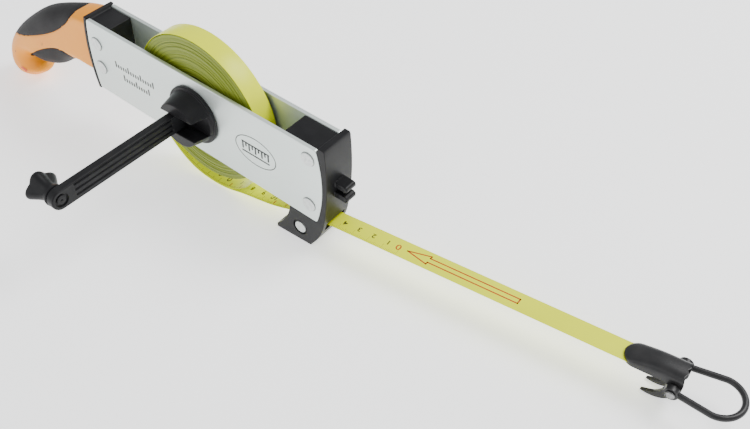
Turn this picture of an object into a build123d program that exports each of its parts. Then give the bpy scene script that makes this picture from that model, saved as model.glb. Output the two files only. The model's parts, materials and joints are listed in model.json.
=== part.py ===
from build123d import *
import os
from math import cos, radians, sin

# Open-frame long steel tape on a pistol handle. Two aluminium side plates carry a wound coil
# of 13 mm tape. A folding crank winds it, and the end of the tape has a hood with a wire ring
# and a folding claw. All sizes are in millimetres.
#
# Row frame: +X towards the tape's free end, +Z up, floor at Z = 0, origin at the middle of
# the foot's sole. The tool stands on that sole and on the toe of the handle, which leaves the
# plates pitched slightly nose down. Everything between the plates is drawn in the plate
# frame, whose origin is on the reel's axis, and is then placed with STANCE.

# stance
PITCH = 3.72
AXIS_BACK = 73.2
AXIS_HEIGHT = 59.2
STANCE = Pos(-AXIS_BACK, 0, AXIS_HEIGHT) * Rot(0, PITCH, 0)
AXLE = Pos(-AXIS_BACK, 0, AXIS_HEIGHT)

# clearances
RUN_GAP = 0.05
BODY_GAP = 0.3

# frame plates
HALF_WIDTH = 11.3
PLATE_THICK = 2.5
INNER_HALF = HALF_WIDTH - PLATE_THICK
PLATE_TOP_REAR = (-92.8, 25.8)
PLATE_TOP_FRONT = (96.0, 26.1)
PLATE_BOTTOM_FRONT = (95.8, -29.8)
PLATE_BOTTOM_REAR = (-92.5, -27.2)
PLATE_FRONT_BULGE = (100.1, -2.0)
PLATE_REAR_BULGE = (-95.4, -0.7)
PLATE_CORNER = 1.2

# plate rivets, as plate-frame places
REAR_RIVETS = [(-86.2, 10.1), (-86.0, -8.0)]
FRONT_RIVETS = [(90.4, 17.3), (90.4, -18.1)]
RIVET_HEAD_R = 4.5
RIVET_HEAD_H = 0.9
RIVET_SHANK_R = 2.5

# tape and coil
TAPE_WIDTH = 13.0
TAPE_THICK = 0.3
COIL_R = 49.5
CORE_R = 24.0
LOOSE_TURNS = [(-165, 50.0), (-147, 50.9), (-129, 52.2), (-115, 55.0), (-101, 57.0), (-86, 57.5),
               (-71, 57.7), (-57, 56.4), (-43, 53.8), (-22, 51.5), (0, 50.6), (45, 50.3),
               (90, 50.2), (135, 50.2), (180, 50.3), (205, 50.9), (231, 53.2), (245, 55.9),
               (259, 57.9), (274, 58.4), (286, 58.9)]
SLACK_RUN = [(29.9, -52.4), (43.0, -49.2), (55.0, -46.0), (66.5, -41.6)]
ROLLER_ANGLES = (112, 103, 94)
END_LAP = 0.4

# reel, spindle and bushes
CORE_HALF = 6.7
SPINDLE_R = 4.5
BUSH_R = 8.0
BUSH_FLANGE_R = 11.0
BUSH_FLANGE_T = 1.2
CAP_R = 12.0
CAP_T = 3.0
CAP_SKIN = 1.0
CAP_ROUND = 1.6
WINDOW_R = 4.2
WINDOW_CIRCLE = 14.5
WINDOW_COUNT = 6
ANCHOR_R = 1.2
ANCHOR_CIRCLE = 21.0

# crank
HUB_FLANGE_R = 19.5
HUB_FLANGE_T = 2.2
HUB_ROOT_R = 17.6
HUB_TIP_R = 14.8
HUB_END_Y = -25.8
SLOT_FLOOR_Y = -15.2
SLOT_HALF = 6.7
HUB_SCREW_R = 3.4
HUB_SCREW_H = 1.0
HUB_ROUND = 0.8
PIVOT_X = -4.4
PIVOT_Y = -19.6
PIVOT_R = 1.4
PIVOT_HALF = 12.0
ARM_HALF_X = 2.75
ARM_HALF_Z = 6.3
ARM_REACH = 88.4
ARM_LEAN = 0.8
ARM_ROUND = 0.8
GROOVE_WIDTH = 1.5
GROOVE_DEPTH = 0.8
GROOVE_ROWS = (4.6, 1.0, -2.6)
GROOVE_START = 8.0
GROOVE_END = 79.2
RECESS_R = 4.3
RECESS_DEPTH = 1.2
KNOB_PIN_R = 1.6
KNOB_PIN_HEAD_R = 2.9
KNOB_PIN_HEAD_H = 0.9
DIMPLE_R = 0.6
DIMPLE_DEPTH = 0.5
KNOB_LENGTH = 15.5
KNOB_NECK_R = 5.4
KNOB_END_R = 10.2
KNOB_COLLAR_R = KNOB_NECK_R + 1.2
KNOB_COLLAR_T = 1.6
KNOB_WAIST_R = 8.3
KNOB_STOP_T = 1.5
KNOB_LOBES = 4
FLUTE_R = 4.0
FLUTE_PLACE = KNOB_END_R + 2.4
FLUTE_LEAN = 76
FLUTE_START = 55
KNOB_BORE_R = 3.6
KNOB_BORE_DEPTH = 4.0

# nose block
LIP_TOP = 29.0
MOUTH_HALF = 8.2
MOUTH_LOW = -37.0
MOUTH_HIGH = -31.0
POCKET_FLOOR = -52.0
POCKET_FRONT = 93.0
ROLLER_CENTRE = (82.3, -43.2)
ROLLER_R = 8.0
ROLLER_HALF = 7.9
ROLLER_PIN_R = 1.6
ROLLER_HEAD_R = 4.0
ROLLER_RECESS_R = 5.2
ROLLER_RECESS = 1.2
CATCH_ROOT = 101.0
CATCH_TIP = 112.3
CATCH_Z = -3.6
CATCH_GAP = 3.6
CATCH_PRONG = 4.2
CATCH_HALF = 4.0
CATCH_ROUND = CATCH_PRONG / 2 - 0.3
CATCH_LIP_R = 1.0
CATCH_LIP_BACK = 2.2
CATCH_LIP_SUNK = 0.3

# tail block and handle
TAIL_FRONT = -74.0
TENON_HALF = 6.0
TENON_FRONT = -81.0
TENON_TOP = 15.0
TENON_BOTTOM = -12.5
GRIP_HALF = 11.0
GRIP_ROUND = 2.0
GRIP_FRONT = -93.0
TENON_REAR = -97.0
PAD_DEPTH = 1.6
CAVITY_HALF = 7.4
SCREWS = [(-122.0, -4.0), (-160.0, -27.0), (-195.0, -53.0)]
SCREW_HEAD_R = 2.8
SCREW_SHANK_R = 1.3
SCREW_END_Y = -6.8
SCREW_SEAT_Y = 8.0
SCREW_TOP_Y = 10.4
BOSS_R = 4.0
LANYARD_PLACE = (-188.5, -61.5)
LANYARD_SIZE = (8.0, 3.0)
LANYARD_LEAN = 20

# outer tape and its end hook; U runs along the tape, V to its left, W up from its level
MOUTH_X = 16.5
MOUTH_Y = 0.25
RUN_HEIGHT = 19.0
RUN_YAW = 5.0
HOOD_U = 190.5
RUN = Pos(MOUTH_X, MOUTH_Y, RUN_HEIGHT) * Rot(0, 0, RUN_YAW)
HOOK = RUN * Pos(HOOD_U, 0, 0)
HOOD_HALF = 7.2
HOOD_REAR = -2.0
HOOD_LENGTH = 30.5
HOOD_BOTTOM = -1.2
HOOD_TOP = 6.6
HOOD_SHOULDER = 1.3
AXLE_U = 27.0
AXLE_W = -3.0
AXLE_R = 1.5
AXLE_HALF = 11.6
AXLE_HEAD_R = 2.5
AXLE_HEAD_H = 0.9
TIP_RIVETS = (8.0, 14.0)
TIP_RIVET_R = 1.0
TIP_RIVET_HEAD_R = 1.9
TIP_RIVET_HEAD_H = 0.6
TIP_RIVET_TOP = 3.6
TIP_START = 3.3
TIP_END = 17.5
TAPE_ROOM_GAP = 0.15
CLAW_ROOM_START = 18.5
CLAW_ROOM_TOP = 3.2
EAR_R = 3.9
EAR_INNER = 5.6
BAIL_WIRE_R = 1.75
BAIL_EYE_V = 9.75
BAIL_WIDE_V = 12.25
BAIL_END_U = 60.25
BAIL_EYE_IN = 1.8
BAIL_EYE_OUT = 1.7
CLAW_OUTER = 5.2
CLAW_INNER = 3.0


def slab(outline, low_y, high_y):
    """Solid of a face drawn on the XZ plane, between two Y values."""
    return Pos(0, high_y, 0) * extrude(outline, high_y - low_y)


def xz_face(edges):
    """Face on the XZ plane from edges drawn with plane coordinates (x, z)."""
    return Plane.XZ * make_face(edges)


def rod_y(radius, low_y, high_y, place=(0, 0)):
    """Cylinder along Y at a place given as (x, z)."""
    middle = (low_y + high_y) / 2
    return Pos(place[0], middle, place[1]) * Rot(90, 0, 0) * Cylinder(radius, high_y - low_y)


def block(low, high):
    """Box between two corners."""
    size = [high[i] - low[i] for i in range(3)]
    middle = [(high[i] + low[i]) / 2 for i in range(3)]
    return Pos(*middle) * Box(*size)


def write(name, shape):
    """One STEP for each node."""
    export_step(shape, "parts/" + name + ".step")


def plate_face():
    """Outline of a side plate: long edges nearly parallel, bowed ends, small corner radii."""
    face = make_face([
        Line(PLATE_TOP_REAR, PLATE_TOP_FRONT),
        ThreePointArc(PLATE_TOP_FRONT, PLATE_FRONT_BULGE, PLATE_BOTTOM_FRONT),
        Line(PLATE_BOTTOM_FRONT, PLATE_BOTTOM_REAR),
        ThreePointArc(PLATE_BOTTOM_REAR, PLATE_REAR_BULGE, PLATE_TOP_REAR),
    ])
    return Plane.XZ * fillet(face.vertices(), PLATE_CORNER)


def side_plates():
    """The right (-Y) and left (+Y) plates, before any holes."""
    right = slab(plate_face(), -HALF_WIDTH, -INNER_HALF)
    left = slab(plate_face(), INNER_HALF, HALF_WIDTH)
    return right, left


def rivet_holes(places):
    """Through holes for a row of rivets."""
    holes = [rod_y(RIVET_SHANK_R + RUN_GAP, -HALF_WIDTH - 1, HALF_WIDTH + 1, p) for p in places]
    return Compound(children=holes)


def rivet(place):
    """Shank with a flat head on each side."""
    outer = HALF_WIDTH + RIVET_HEAD_H
    shank = rod_y(RIVET_SHANK_R, -outer, outer, place)
    near = rod_y(RIVET_HEAD_R, -outer, -HALF_WIDTH, place)
    far = rod_y(RIVET_HEAD_R, HALF_WIDTH, outer, place)
    return shank + near + far


def finished_plate(plate):
    """A plate with its rivet holes and its bush hole."""
    bush_hole = rod_y(BUSH_R + RUN_GAP, -HALF_WIDTH - 1, HALF_WIDTH + 1)
    return plate - rivet_holes(REAR_RIVETS + FRONT_RIVETS) - bush_hole


def floor_cut():
    """Everything below the floor, in the row frame."""
    return block((-400, -50, -60), (400, 50, 0))


def catch_prong(side):
    """One finger of the ring catch, above (1) or below (-1) the gap, with a lip at its end."""
    inner = CATCH_Z + side * CATCH_GAP / 2
    outer = inner + side * CATCH_PRONG
    low, high = sorted((inner, outer))
    finger = block((CATCH_ROOT, -CATCH_HALF, low), (CATCH_TIP, CATCH_HALF, high))
    finger = fillet(finger.edges().filter_by(Axis.Y).group_by(Axis.X)[-1], CATCH_ROUND)
    lip_place = (CATCH_TIP - CATCH_LIP_BACK, inner + side * (CATCH_LIP_R - CATCH_LIP_SUNK))
    return finger + rod_y(CATCH_LIP_R, -CATCH_HALF, CATCH_HALF, lip_place)


def nose_block(right, left):
    """Block between the plates at the front: bowed face, ring catch, mouth and foot."""
    flange = xz_face([
        Line((96.4, LIP_TOP - 2.5), (98.0, LIP_TOP)),
        Line((98.0, LIP_TOP), (101.8, LIP_TOP)),
        Line((101.8, LIP_TOP), (102.4, LIP_TOP - 1.5)),
        ThreePointArc((102.4, LIP_TOP - 1.5), (103.6, 0.0), (101.2, -28.0)),
        ThreePointArc((101.2, -28.0), (98.6, -38.6), (92.8, -49.6)),
        Line((92.8, -49.6), (89.4, -55.0)),
        Line((89.4, -55.0), (89.0, -60.0)),
        Line((89.0, -60.0), (63.0, -60.0)),
        Line((63.0, -60.0), (63.2, -52.6)),
        ThreePointArc((63.2, -52.6), (70.6, -42.6), (74.8, -28.5)),
        Line((74.8, -28.5), (94.0, -28.5)),
        Line((94.0, -28.5), (94.0, 24.0)),
        Line((94.0, 24.0), (96.4, LIP_TOP - 2.5)),
    ])
    outer = slab(flange, -HALF_WIDTH, HALF_WIDTH)
    core = block((71.0, -INNER_HALF, -31.5), (98.0, INNER_HALF, 25.2))
    pocket = block((55.0, -MOUTH_HALF, POCKET_FLOOR), (POCKET_FRONT, MOUTH_HALF, MOUTH_HIGH))
    mouth = block((POCKET_FRONT - 1, -MOUTH_HALF, MOUTH_LOW), (110.0, MOUTH_HALF, MOUTH_HIGH))
    body = outer + core - pocket - mouth
    body = body + catch_prong(1) + catch_prong(-1)
    pin_hole = rod_y(ROLLER_PIN_R + RUN_GAP, -HALF_WIDTH - 1, HALF_WIDTH + 1, ROLLER_CENTRE)
    near_recess = rod_y(ROLLER_RECESS_R, -HALF_WIDTH - 1, -HALF_WIDTH + ROLLER_RECESS,
                        ROLLER_CENTRE)
    far_recess = rod_y(ROLLER_RECESS_R, HALF_WIDTH - ROLLER_RECESS, HALF_WIDTH + 1,
                       ROLLER_CENTRE)
    body = body - right - left - pin_hole - near_recess - far_recess
    body = body - rivet_holes(FRONT_RIVETS)
    return STANCE * body - floor_cut()


def guide_roller():
    """Plain roller that the tape leaves the reel over."""
    body = rod_y(ROLLER_R, -ROLLER_HALF, ROLLER_HALF, ROLLER_CENTRE)
    bore = rod_y(ROLLER_PIN_R + RUN_GAP, -ROLLER_HALF - 1, ROLLER_HALF + 1, ROLLER_CENTRE)
    return STANCE * (chamfer(body.edges(), 0.6) - bore)


def guide_roller_pin():
    """Steel pin of the roller, headed in a recess on each side of the foot."""
    seat = HALF_WIDTH - ROLLER_RECESS
    shank = rod_y(ROLLER_PIN_R, -seat, seat, ROLLER_CENTRE)
    near = rod_y(ROLLER_HEAD_R, -HALF_WIDTH, -seat, ROLLER_CENTRE)
    far = rod_y(ROLLER_HEAD_R, seat, HALF_WIDTH, ROLLER_CENTRE)
    return STANCE * (shank + near + far)


def tail_block(right, left):
    """Block between the plates at the rear, with a thin bowed flange and the handle's socket."""
    flange = xz_face([
        Line((-91.0, 24.0), (-92.6, 26.6)),
        Line((-92.6, 26.6), (-94.6, 26.6)),
        ThreePointArc((-94.6, 26.6), (-97.6, -0.7), (-94.4, -28.4)),
        Line((-94.4, -28.4), (-92.4, -28.4)),
        Line((-92.4, -28.4), (-91.0, -25.5)),
        Line((-91.0, -25.5), (-91.0, 24.0)),
    ])
    outer = slab(flange, -HALF_WIDTH, HALF_WIDTH)
    core = block((-93.0, -INNER_HALF, -26.0), (TAIL_FRONT, INNER_HALF, 24.6))
    socket = block((-110.0, -TENON_HALF, TENON_BOTTOM), (TENON_FRONT, TENON_HALF, TENON_TOP))
    return STANCE * (outer + core - right - left - socket - rivet_holes(REAR_RIVETS))


def grip_outline():
    """Side view of the pistol grip, with the hooked toe that it rests on."""
    neck_top = [(-84.0, 24.0), (-98.0, 24.4)]
    back = [(-114.0, 21.0), (-133.0, 13.5), (-150.0, 4.5), (-170.0, -10.5), (-188.0, -26.5),
            (-200.5, -41.5), (-206.3, -55.5)]
    toe = [(-204.0, -67.0), (-195.5, -72.8), (-185.0, -69.8), (-176.5, -64.0), (-171.0, -58.6),
           (-173.4, -54.2)]
    pocket = [(-179.0, -54.0), (-181.8, -49.6), (-176.5, -45.8)]
    belly = [(-168.0, -46.2), (-156.0, -44.0), (-143.0, -38.0), (-131.0, -29.0), (-119.0, -22.3),
             (-108.0, -19.2), (-98.0, -18.0), (-84.0, -18.0)]
    return make_face(Spline(*neck_top, *back, *toe, *pocket, *belly, periodic=True))


def cavity_outline():
    """Side view of the hollow inside the two half shells."""
    upper = [(-107.0, 14.0), (-130.0, 6.5), (-148.0, -2.5), (-166.0, -16.0), (-183.0, -31.0),
             (-194.0, -44.0), (-198.5, -54.0)]
    lower = [(-192.0, -57.0), (-187.0, -48.0), (-178.0, -39.5), (-160.0, -37.5),
             (-146.0, -32.0), (-132.0, -22.0), (-118.0, -15.0), (-107.0, -11.0)]
    return make_face(Spline(*upper, *lower, periodic=True))


def back_pad_region():
    """Side view of the area that the soft pad on the back of the grip covers."""
    edge = Spline((-109.0, 26.0), (-118.0, 11.0), (-127.0, 2.5), (-135.0, -4.0), (-147.0, -11.5),
                  (-162.0, -19.5), (-176.0, -26.0), (-189.0, -31.5), (-201.0, -38.5),
                  (-214.0, -46.0))
    around = Polyline((-214.0, -46.0), (-230.0, 0.0), (-150.0, 45.0), (-109.0, 26.0))
    return xz_face([edge, around])


def finger_pad_region():
    """Side view of the area that the finger pad under the grip covers, down into the toe."""
    edge = Spline((-112.0, -26.0), (-121.0, -18.5), (-130.0, -16.6), (-140.0, -19.4),
                  (-152.0, -25.8), (-163.0, -33.0), (-173.0, -40.0), (-179.5, -45.2),
                  (-183.4, -52.0), (-178.0, -56.6))
    around = Polyline((-178.0, -56.6), (-165.0, -52.0), (-140.0, -60.0), (-112.0, -26.0))
    return xz_face([edge, around])


def handle_parts(tail, plates):
    """The grip's two half shells and its two soft pads."""
    outline = grip_outline()
    face = Plane.XZ * outline
    whole = slab(face, -GRIP_HALF, GRIP_HALF)
    whole = fillet(whole.edges().filter_by(GeomType.BSPLINE), GRIP_ROUND)
    whole = whole & block((-250.0, -GRIP_HALF, -90.0), (GRIP_FRONT, GRIP_HALF, 40.0))
    deep = slab(Plane.XZ * offset(outline, amount=-PAD_DEPTH), PAD_DEPTH - GRIP_HALF,
                GRIP_HALF - PAD_DEPTH)
    skin = whole - deep
    back_pad = skin & slab(back_pad_region(), -GRIP_HALF - 1, GRIP_HALF + 1)
    finger_pad = skin & slab(finger_pad_region(), -GRIP_HALF - 1, GRIP_HALF + 1)
    cavity = slab(Plane.XZ * cavity_outline(), -CAVITY_HALF, CAVITY_HALF)
    bosses = [rod_y(BOSS_R, -CAVITY_HALF, CAVITY_HALF, place) for place in SCREWS]
    for boss in bosses:
        cavity = cavity - boss
    tenon = block((TENON_REAR, -TENON_HALF, TENON_BOTTOM), (TENON_FRONT, TENON_HALF, TENON_TOP))
    lanyard = Pos(LANYARD_PLACE[0], 0, LANYARD_PLACE[1]) * Rot(0, LANYARD_LEAN, 0)
    lanyard = lanyard * Box(LANYARD_SIZE[0], 2 * GRIP_HALF + 2, LANYARD_SIZE[1])
    shell = whole - back_pad - finger_pad - cavity - lanyard
    for place in SCREWS:
        shell = shell - rod_y(SCREW_SHANK_R + RUN_GAP, SCREW_END_Y - 0.2, GRIP_HALF + 1, place)
        shell = shell - rod_y(SCREW_HEAD_R + RUN_GAP, SCREW_SEAT_Y, GRIP_HALF + 1, place)
    shell = STANCE * shell - floor_cut()
    tenon = STANCE * (tenon - rivet_holes(REAR_RIVETS))
    shell = shell - tail - STANCE * plates[0] - STANCE * plates[1] + tenon
    right = shell & block((-400, -50, -100), (400, 0, 200))
    left = shell & block((-400, 0, -100), (400, 50, 200))
    return right, left, STANCE * back_pad - floor_cut(), STANCE * finger_pad - floor_cut()


def handle_screw(place):
    """Pan-head screw that holds the two half shells together."""
    shank = rod_y(SCREW_SHANK_R, SCREW_END_Y, SCREW_SEAT_Y, place)
    head = rod_y(SCREW_HEAD_R, SCREW_SEAT_Y, SCREW_TOP_Y, place)
    return shank + head


def spindle_bush(side):
    """Flanged bush in a side plate, on the right (-1) or left (1)."""
    seat_low, seat_high = sorted((side * INNER_HALF, side * HALF_WIDTH))
    inner = side * (INNER_HALF - BUSH_FLANGE_T)
    flange_low, flange_high = sorted((inner, side * INNER_HALF))
    sleeve = rod_y(BUSH_R, seat_low, seat_high) + rod_y(BUSH_FLANGE_R, flange_low, flange_high)
    return AXLE * (sleeve - rod_y(SPINDLE_R + RUN_GAP, -HALF_WIDTH - 1, HALF_WIDTH + 1))


def reel_core():
    """Moulded drum that the tape is wound on, with windows between bore and rim."""
    drum = rod_y(CORE_R, -CORE_HALF, CORE_HALF) - rod_y(SPINDLE_R, -CORE_HALF, CORE_HALF)
    for number in range(WINDOW_COUNT):
        angle = radians(360 * number / WINDOW_COUNT + 30)
        place = (WINDOW_CIRCLE * cos(angle), WINDOW_CIRCLE * sin(angle))
        drum = drum - rod_y(WINDOW_R, -CORE_HALF - 1, CORE_HALF + 1, place)
    drum = drum - rod_y(ANCHOR_R, -CORE_HALF, CORE_HALF, (0, ANCHOR_CIRCLE))
    return AXLE * drum


def tape_anchor_pin():
    """Pin in the drum that the inner end of the tape loops around."""
    return AXLE * rod_y(ANCHOR_R, -CORE_HALF, CORE_HALF, (0, ANCHOR_CIRCLE))


def tape_coil():
    """The wound tape."""
    half = TAPE_WIDTH / 2
    return AXLE * (rod_y(COIL_R, -half, half) - rod_y(CORE_R, -half - 1, half + 1))


def reel_spindle():
    """Shaft through both bushes, from the crank hub to the far cap."""
    return AXLE * rod_y(SPINDLE_R, SLOT_FLOOR_Y, HALF_WIDTH + BODY_GAP + CAP_T - CAP_SKIN)


def spindle_cap():
    """Domed cap on the far end of the spindle."""
    low = HALF_WIDTH + BODY_GAP
    cap = rod_y(CAP_R, low, low + CAP_T)
    cap = fillet(cap.edges().group_by(Axis.Y)[-1], CAP_ROUND)
    return AXLE * (cap - rod_y(SPINDLE_R, low - 1, low + CAP_T - CAP_SKIN))


def crank_hub():
    """Cup that drives the reel: flange on the plate, two cheeks and a slot for the arm."""
    base = -HALF_WIDTH - BODY_GAP
    flange = rod_y(HUB_FLANGE_R, base - HUB_FLANGE_T, base)
    flange = fillet(flange.edges().group_by(Axis.Y)[0], HUB_ROUND)
    height = base - HUB_FLANGE_T - HUB_END_Y
    cup = Pos(0, HUB_END_Y + height / 2, 0) * Rot(90, 0, 0)
    cup = cup * Cone(HUB_ROOT_R, HUB_TIP_R, height)
    slot = block((-30, HUB_END_Y - 1, -SLOT_HALF), (30, SLOT_FLOOR_Y, SLOT_HALF))
    hub = flange + cup - slot
    hub = hub - rod_y(SPINDLE_R, SLOT_FLOOR_Y, 0)
    return AXLE * (hub - Pos(PIVOT_X, PIVOT_Y, 0) * Cylinder(PIVOT_R, 2 * PIVOT_HALF))


def crank_pivot_pin():
    """Pin through the hub's cheeks that the arm folds about."""
    return AXLE * Pos(PIVOT_X, PIVOT_Y, 0) * Cylinder(PIVOT_R, 2 * PIVOT_HALF)


def hub_screw():
    """Screw in the slot's floor that holds the hub on the spindle."""
    head = rod_y(HUB_SCREW_R, SLOT_FLOOR_Y - HUB_SCREW_H, SLOT_FLOOR_Y)
    return AXLE * chamfer(head.edges().group_by(Axis.Y)[0], 0.3)


ARM = AXLE * Pos(PIVOT_X, PIVOT_Y, 0) * Rot(0, 0, -ARM_LEAN)


def crank_arm():
    """Folding arm, drawn along -Y from its pivot: grooved sides, round ends, pin recess."""
    length = ARM_REACH + ARM_HALF_Z
    inner = block((-ARM_HALF_X, -length, -ARM_HALF_Z), (ARM_HALF_X, 0, ARM_HALF_Z))
    heel = Cylinder(ARM_HALF_X, 2 * ARM_HALF_Z)
    arm = inner + heel
    tip_edges = arm.edges().filter_by(Axis.X).group_by(Axis.Y)[0]
    arm = fillet(tip_edges, ARM_HALF_Z - 0.1)
    long_edges = arm.edges().filter_by(Axis.Y).group_by(SortBy.LENGTH)[-1]
    arm = fillet(long_edges, ARM_ROUND)
    for side in (-1, 1):
        for row in GROOVE_ROWS:
            depth = sorted((side * (ARM_HALF_X - GROOVE_DEPTH), side * (ARM_HALF_X + 1)))
            low = (depth[0], -GROOVE_END, row - GROOVE_WIDTH / 2)
            high = (depth[1], -GROOVE_START, row + GROOVE_WIDTH / 2)
            arm = arm - block(low, high)
    pin = Pos(0, -ARM_REACH, 0) * Rot(0, 90, 0)
    arm = arm - pin * Cylinder(KNOB_PIN_R, 4 * ARM_HALF_X)
    recess = Pos(ARM_HALF_X, -ARM_REACH, 0) * Rot(0, 90, 0)
    arm = arm - recess * Cylinder(RECESS_R, 2 * RECESS_DEPTH)
    return ARM * (arm - Cylinder(PIVOT_R + RUN_GAP, 4 * ARM_HALF_Z))


def along_knob(radius, low_x, high_x):
    """Cylinder on the knob's axis, between two distances from the arm's middle."""
    middle = (low_x + high_x) / 2
    return Pos(middle, -ARM_REACH, 0) * Rot(0, 90, 0) * Cylinder(radius, high_x - low_x)


def knob_pin():
    """Pin fixed in the arm that the knob turns on, headed at both ends."""
    seat = ARM_HALF_X - RECESS_DEPTH
    knob_end = -ARM_HALF_X - BODY_GAP - KNOB_LENGTH
    shoulder = knob_end + KNOB_BORE_DEPTH
    shank = along_knob(KNOB_PIN_R, shoulder - KNOB_STOP_T, seat)
    head = along_knob(KNOB_PIN_HEAD_R, seat, seat + KNOB_PIN_HEAD_H)
    dimple = along_knob(DIMPLE_R, seat + KNOB_PIN_HEAD_H - DIMPLE_DEPTH, seat + KNOB_PIN_HEAD_H)
    stop = along_knob(KNOB_BORE_R - BODY_GAP, shoulder - KNOB_STOP_T, shoulder - BODY_GAP)
    return ARM * (shank + head + stop - dimple)


def crank_knob():
    """Lobed conical knob, wide at its outer end."""
    near = -ARM_HALF_X - BODY_GAP
    far = near - KNOB_LENGTH
    collar = near - KNOB_COLLAR_T
    profile = make_face([
        Line((near, 0), (near, KNOB_COLLAR_R)),
        Line((near, KNOB_COLLAR_R), (collar, KNOB_COLLAR_R)),
        Line((collar, KNOB_COLLAR_R), (collar - 0.8, KNOB_NECK_R)),
        Line((collar - 0.8, KNOB_NECK_R), (near - 5.0, KNOB_NECK_R + 0.4)),
        ThreePointArc((near - 5.0, KNOB_NECK_R + 0.4), (near - 9.4, KNOB_WAIST_R),
                      (far + 3.0, KNOB_END_R)),
        ThreePointArc((far + 3.0, KNOB_END_R), (far + 0.9, KNOB_END_R - 0.8),
                      (far, KNOB_END_R - 3.0)),
        Line((far, KNOB_END_R - 3.0), (far, 0)),
        Line((far, 0), (near, 0)),
    ])
    knob = revolve(profile, Axis.X)
    for number in range(KNOB_LOBES):
        flute = Pos(far, 0, FLUTE_PLACE) * Rot(0, FLUTE_LEAN, 0) * Cylinder(FLUTE_R, 30)
        knob = knob - Rot(360 * number / KNOB_LOBES + FLUTE_START, 0, 0) * flute
    knob = Pos(0, -ARM_REACH, 0) * knob
    knob = knob - along_knob(KNOB_PIN_R + RUN_GAP, far - 1, near + 1)
    return ARM * (knob - along_knob(KNOB_BORE_R, far - 1, far + KNOB_BORE_DEPTH))


def polar(radius, angle):
    """Plate-frame (x, z) at a radius and an angle in degrees round the reel's axis."""
    return (radius * cos(radians(angle)), radius * sin(radians(angle)))


def tape_lead():
    """The loose last turns of the coil, the slack run to the roller, and the level end."""
    middle_r = ROLLER_R + RUN_GAP + TAPE_THICK / 2
    over = [(ROLLER_CENTRE[0] + x, ROLLER_CENTRE[1] + z)
            for x, z in (polar(middle_r, angle) for angle in ROLLER_ANGLES)]
    points = [polar(radius, angle) for angle, radius in LOOSE_TURNS]
    path = Spline(*points, *SLACK_RUN, *over)
    half = TAPE_WIDTH / 2
    band = STANCE * slab(Plane.XZ * trace(path, TAPE_THICK), -half, half)
    end = over[-1]
    level_x = -AXIS_BACK + end[0] * cos(radians(PITCH)) + end[1] * sin(radians(PITCH))
    level = block((level_x - END_LAP, -half, RUN_HEIGHT - TAPE_THICK / 2),
                  (MOUTH_X, half, RUN_HEIGHT + TAPE_THICK / 2))
    return band + level


def tape_run():
    """Blade from the mouth to just inside the end hood."""
    half = TAPE_WIDTH / 2
    blade = block((-2, -half, -TAPE_THICK / 2), (HOOD_U + 3.0, half, TAPE_THICK / 2))
    return RUN * blade - block((0, -50, 0), (MOUTH_X, 50, 50))


def hook_hood():
    """Domed hood over the tape's end: rounded rear, ears for the axle at its front."""
    round_end = HOOD_REAR + HOOD_HALF
    plan = make_face([
        ThreePointArc((round_end, HOOD_HALF), (HOOD_REAR, 0.0), (round_end, -HOOD_HALF)),
        Line((round_end, -HOOD_HALF), (HOOD_LENGTH, -HOOD_HALF)),
        Line((HOOD_LENGTH, -HOOD_HALF), (HOOD_LENGTH, HOOD_HALF)),
        Line((HOOD_LENGTH, HOOD_HALF), (round_end, HOOD_HALF)),
    ])
    tall = extrude(plan, HOOD_TOP - HOOD_BOTTOM)
    tall = Pos(0, 0, HOOD_BOTTOM) * tall
    side = xz_face([
        Line((-3.0, HOOD_BOTTOM), (-3.0, 1.6)),
        ThreePointArc((-3.0, 1.6), (8.0, 5.3), (22.0, HOOD_TOP)),
        Line((22.0, HOOD_TOP), (HOOD_LENGTH + 1, HOOD_TOP - 0.6)),
        Line((HOOD_LENGTH + 1, HOOD_TOP - 0.6), (HOOD_LENGTH + 1, HOOD_BOTTOM)),
        Line((HOOD_LENGTH + 1, HOOD_BOTTOM), (-3.0, HOOD_BOTTOM)),
    ])
    hood = tall & slab(side, -HOOD_HALF, HOOD_HALF)
    arch = Plane.YZ * make_face([
        Line((-HOOD_HALF, HOOD_BOTTOM), (-HOOD_HALF, HOOD_SHOULDER)),
        ThreePointArc((-HOOD_HALF, HOOD_SHOULDER), (0, HOOD_TOP), (HOOD_HALF, HOOD_SHOULDER)),
        Line((HOOD_HALF, HOOD_SHOULDER), (HOOD_HALF, HOOD_BOTTOM)),
        Line((HOOD_HALF, HOOD_BOTTOM), (-HOOD_HALF, HOOD_BOTTOM)),
    ])
    hood = hood & Pos(-4, 0, 0) * extrude(arch, HOOD_LENGTH + 6)
    axle_place = (AXLE_U, AXLE_W)
    for side_sign in (-1, 1):
        low, high = sorted((side_sign * EAR_INNER, side_sign * HOOD_HALF))
        web = block((AXLE_U - EAR_R, low, AXLE_W), (HOOD_LENGTH, high, HOOD_SHOULDER))
        hood = hood + rod_y(EAR_R, low, high, axle_place) + web
    claw_room = block((CLAW_ROOM_START, -EAR_INNER, AXLE_W - 5),
                      (HOOD_LENGTH + 2, EAR_INNER, CLAW_ROOM_TOP))
    room_v = TAPE_WIDTH / 2 + TAPE_ROOM_GAP
    room_w = TAPE_THICK + TAPE_ROOM_GAP
    tape_room = block((-4, -room_v, -room_w), (CLAW_ROOM_START, room_v, room_w))
    bore = rod_y(AXLE_R, -HOOD_HALF - 1, HOOD_HALF + 1, axle_place)
    for u in TIP_RIVETS:
        hood = hood - Pos(u, 0, 0) * Cylinder(TIP_RIVET_R, 2 * TIP_RIVET_TOP)
    return HOOK * (hood - claw_room - tape_room - bore)


def tape_tip():
    """Last piece of blade, held in the hood."""
    half = TAPE_WIDTH / 2
    tip = block((TIP_START, -half, -TAPE_THICK / 2), (TIP_END, half, TAPE_THICK / 2))
    for u in TIP_RIVETS:
        tip = tip - Pos(u, 0, 0) * Cylinder(TIP_RIVET_R, 2)
    return HOOK * tip


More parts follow.
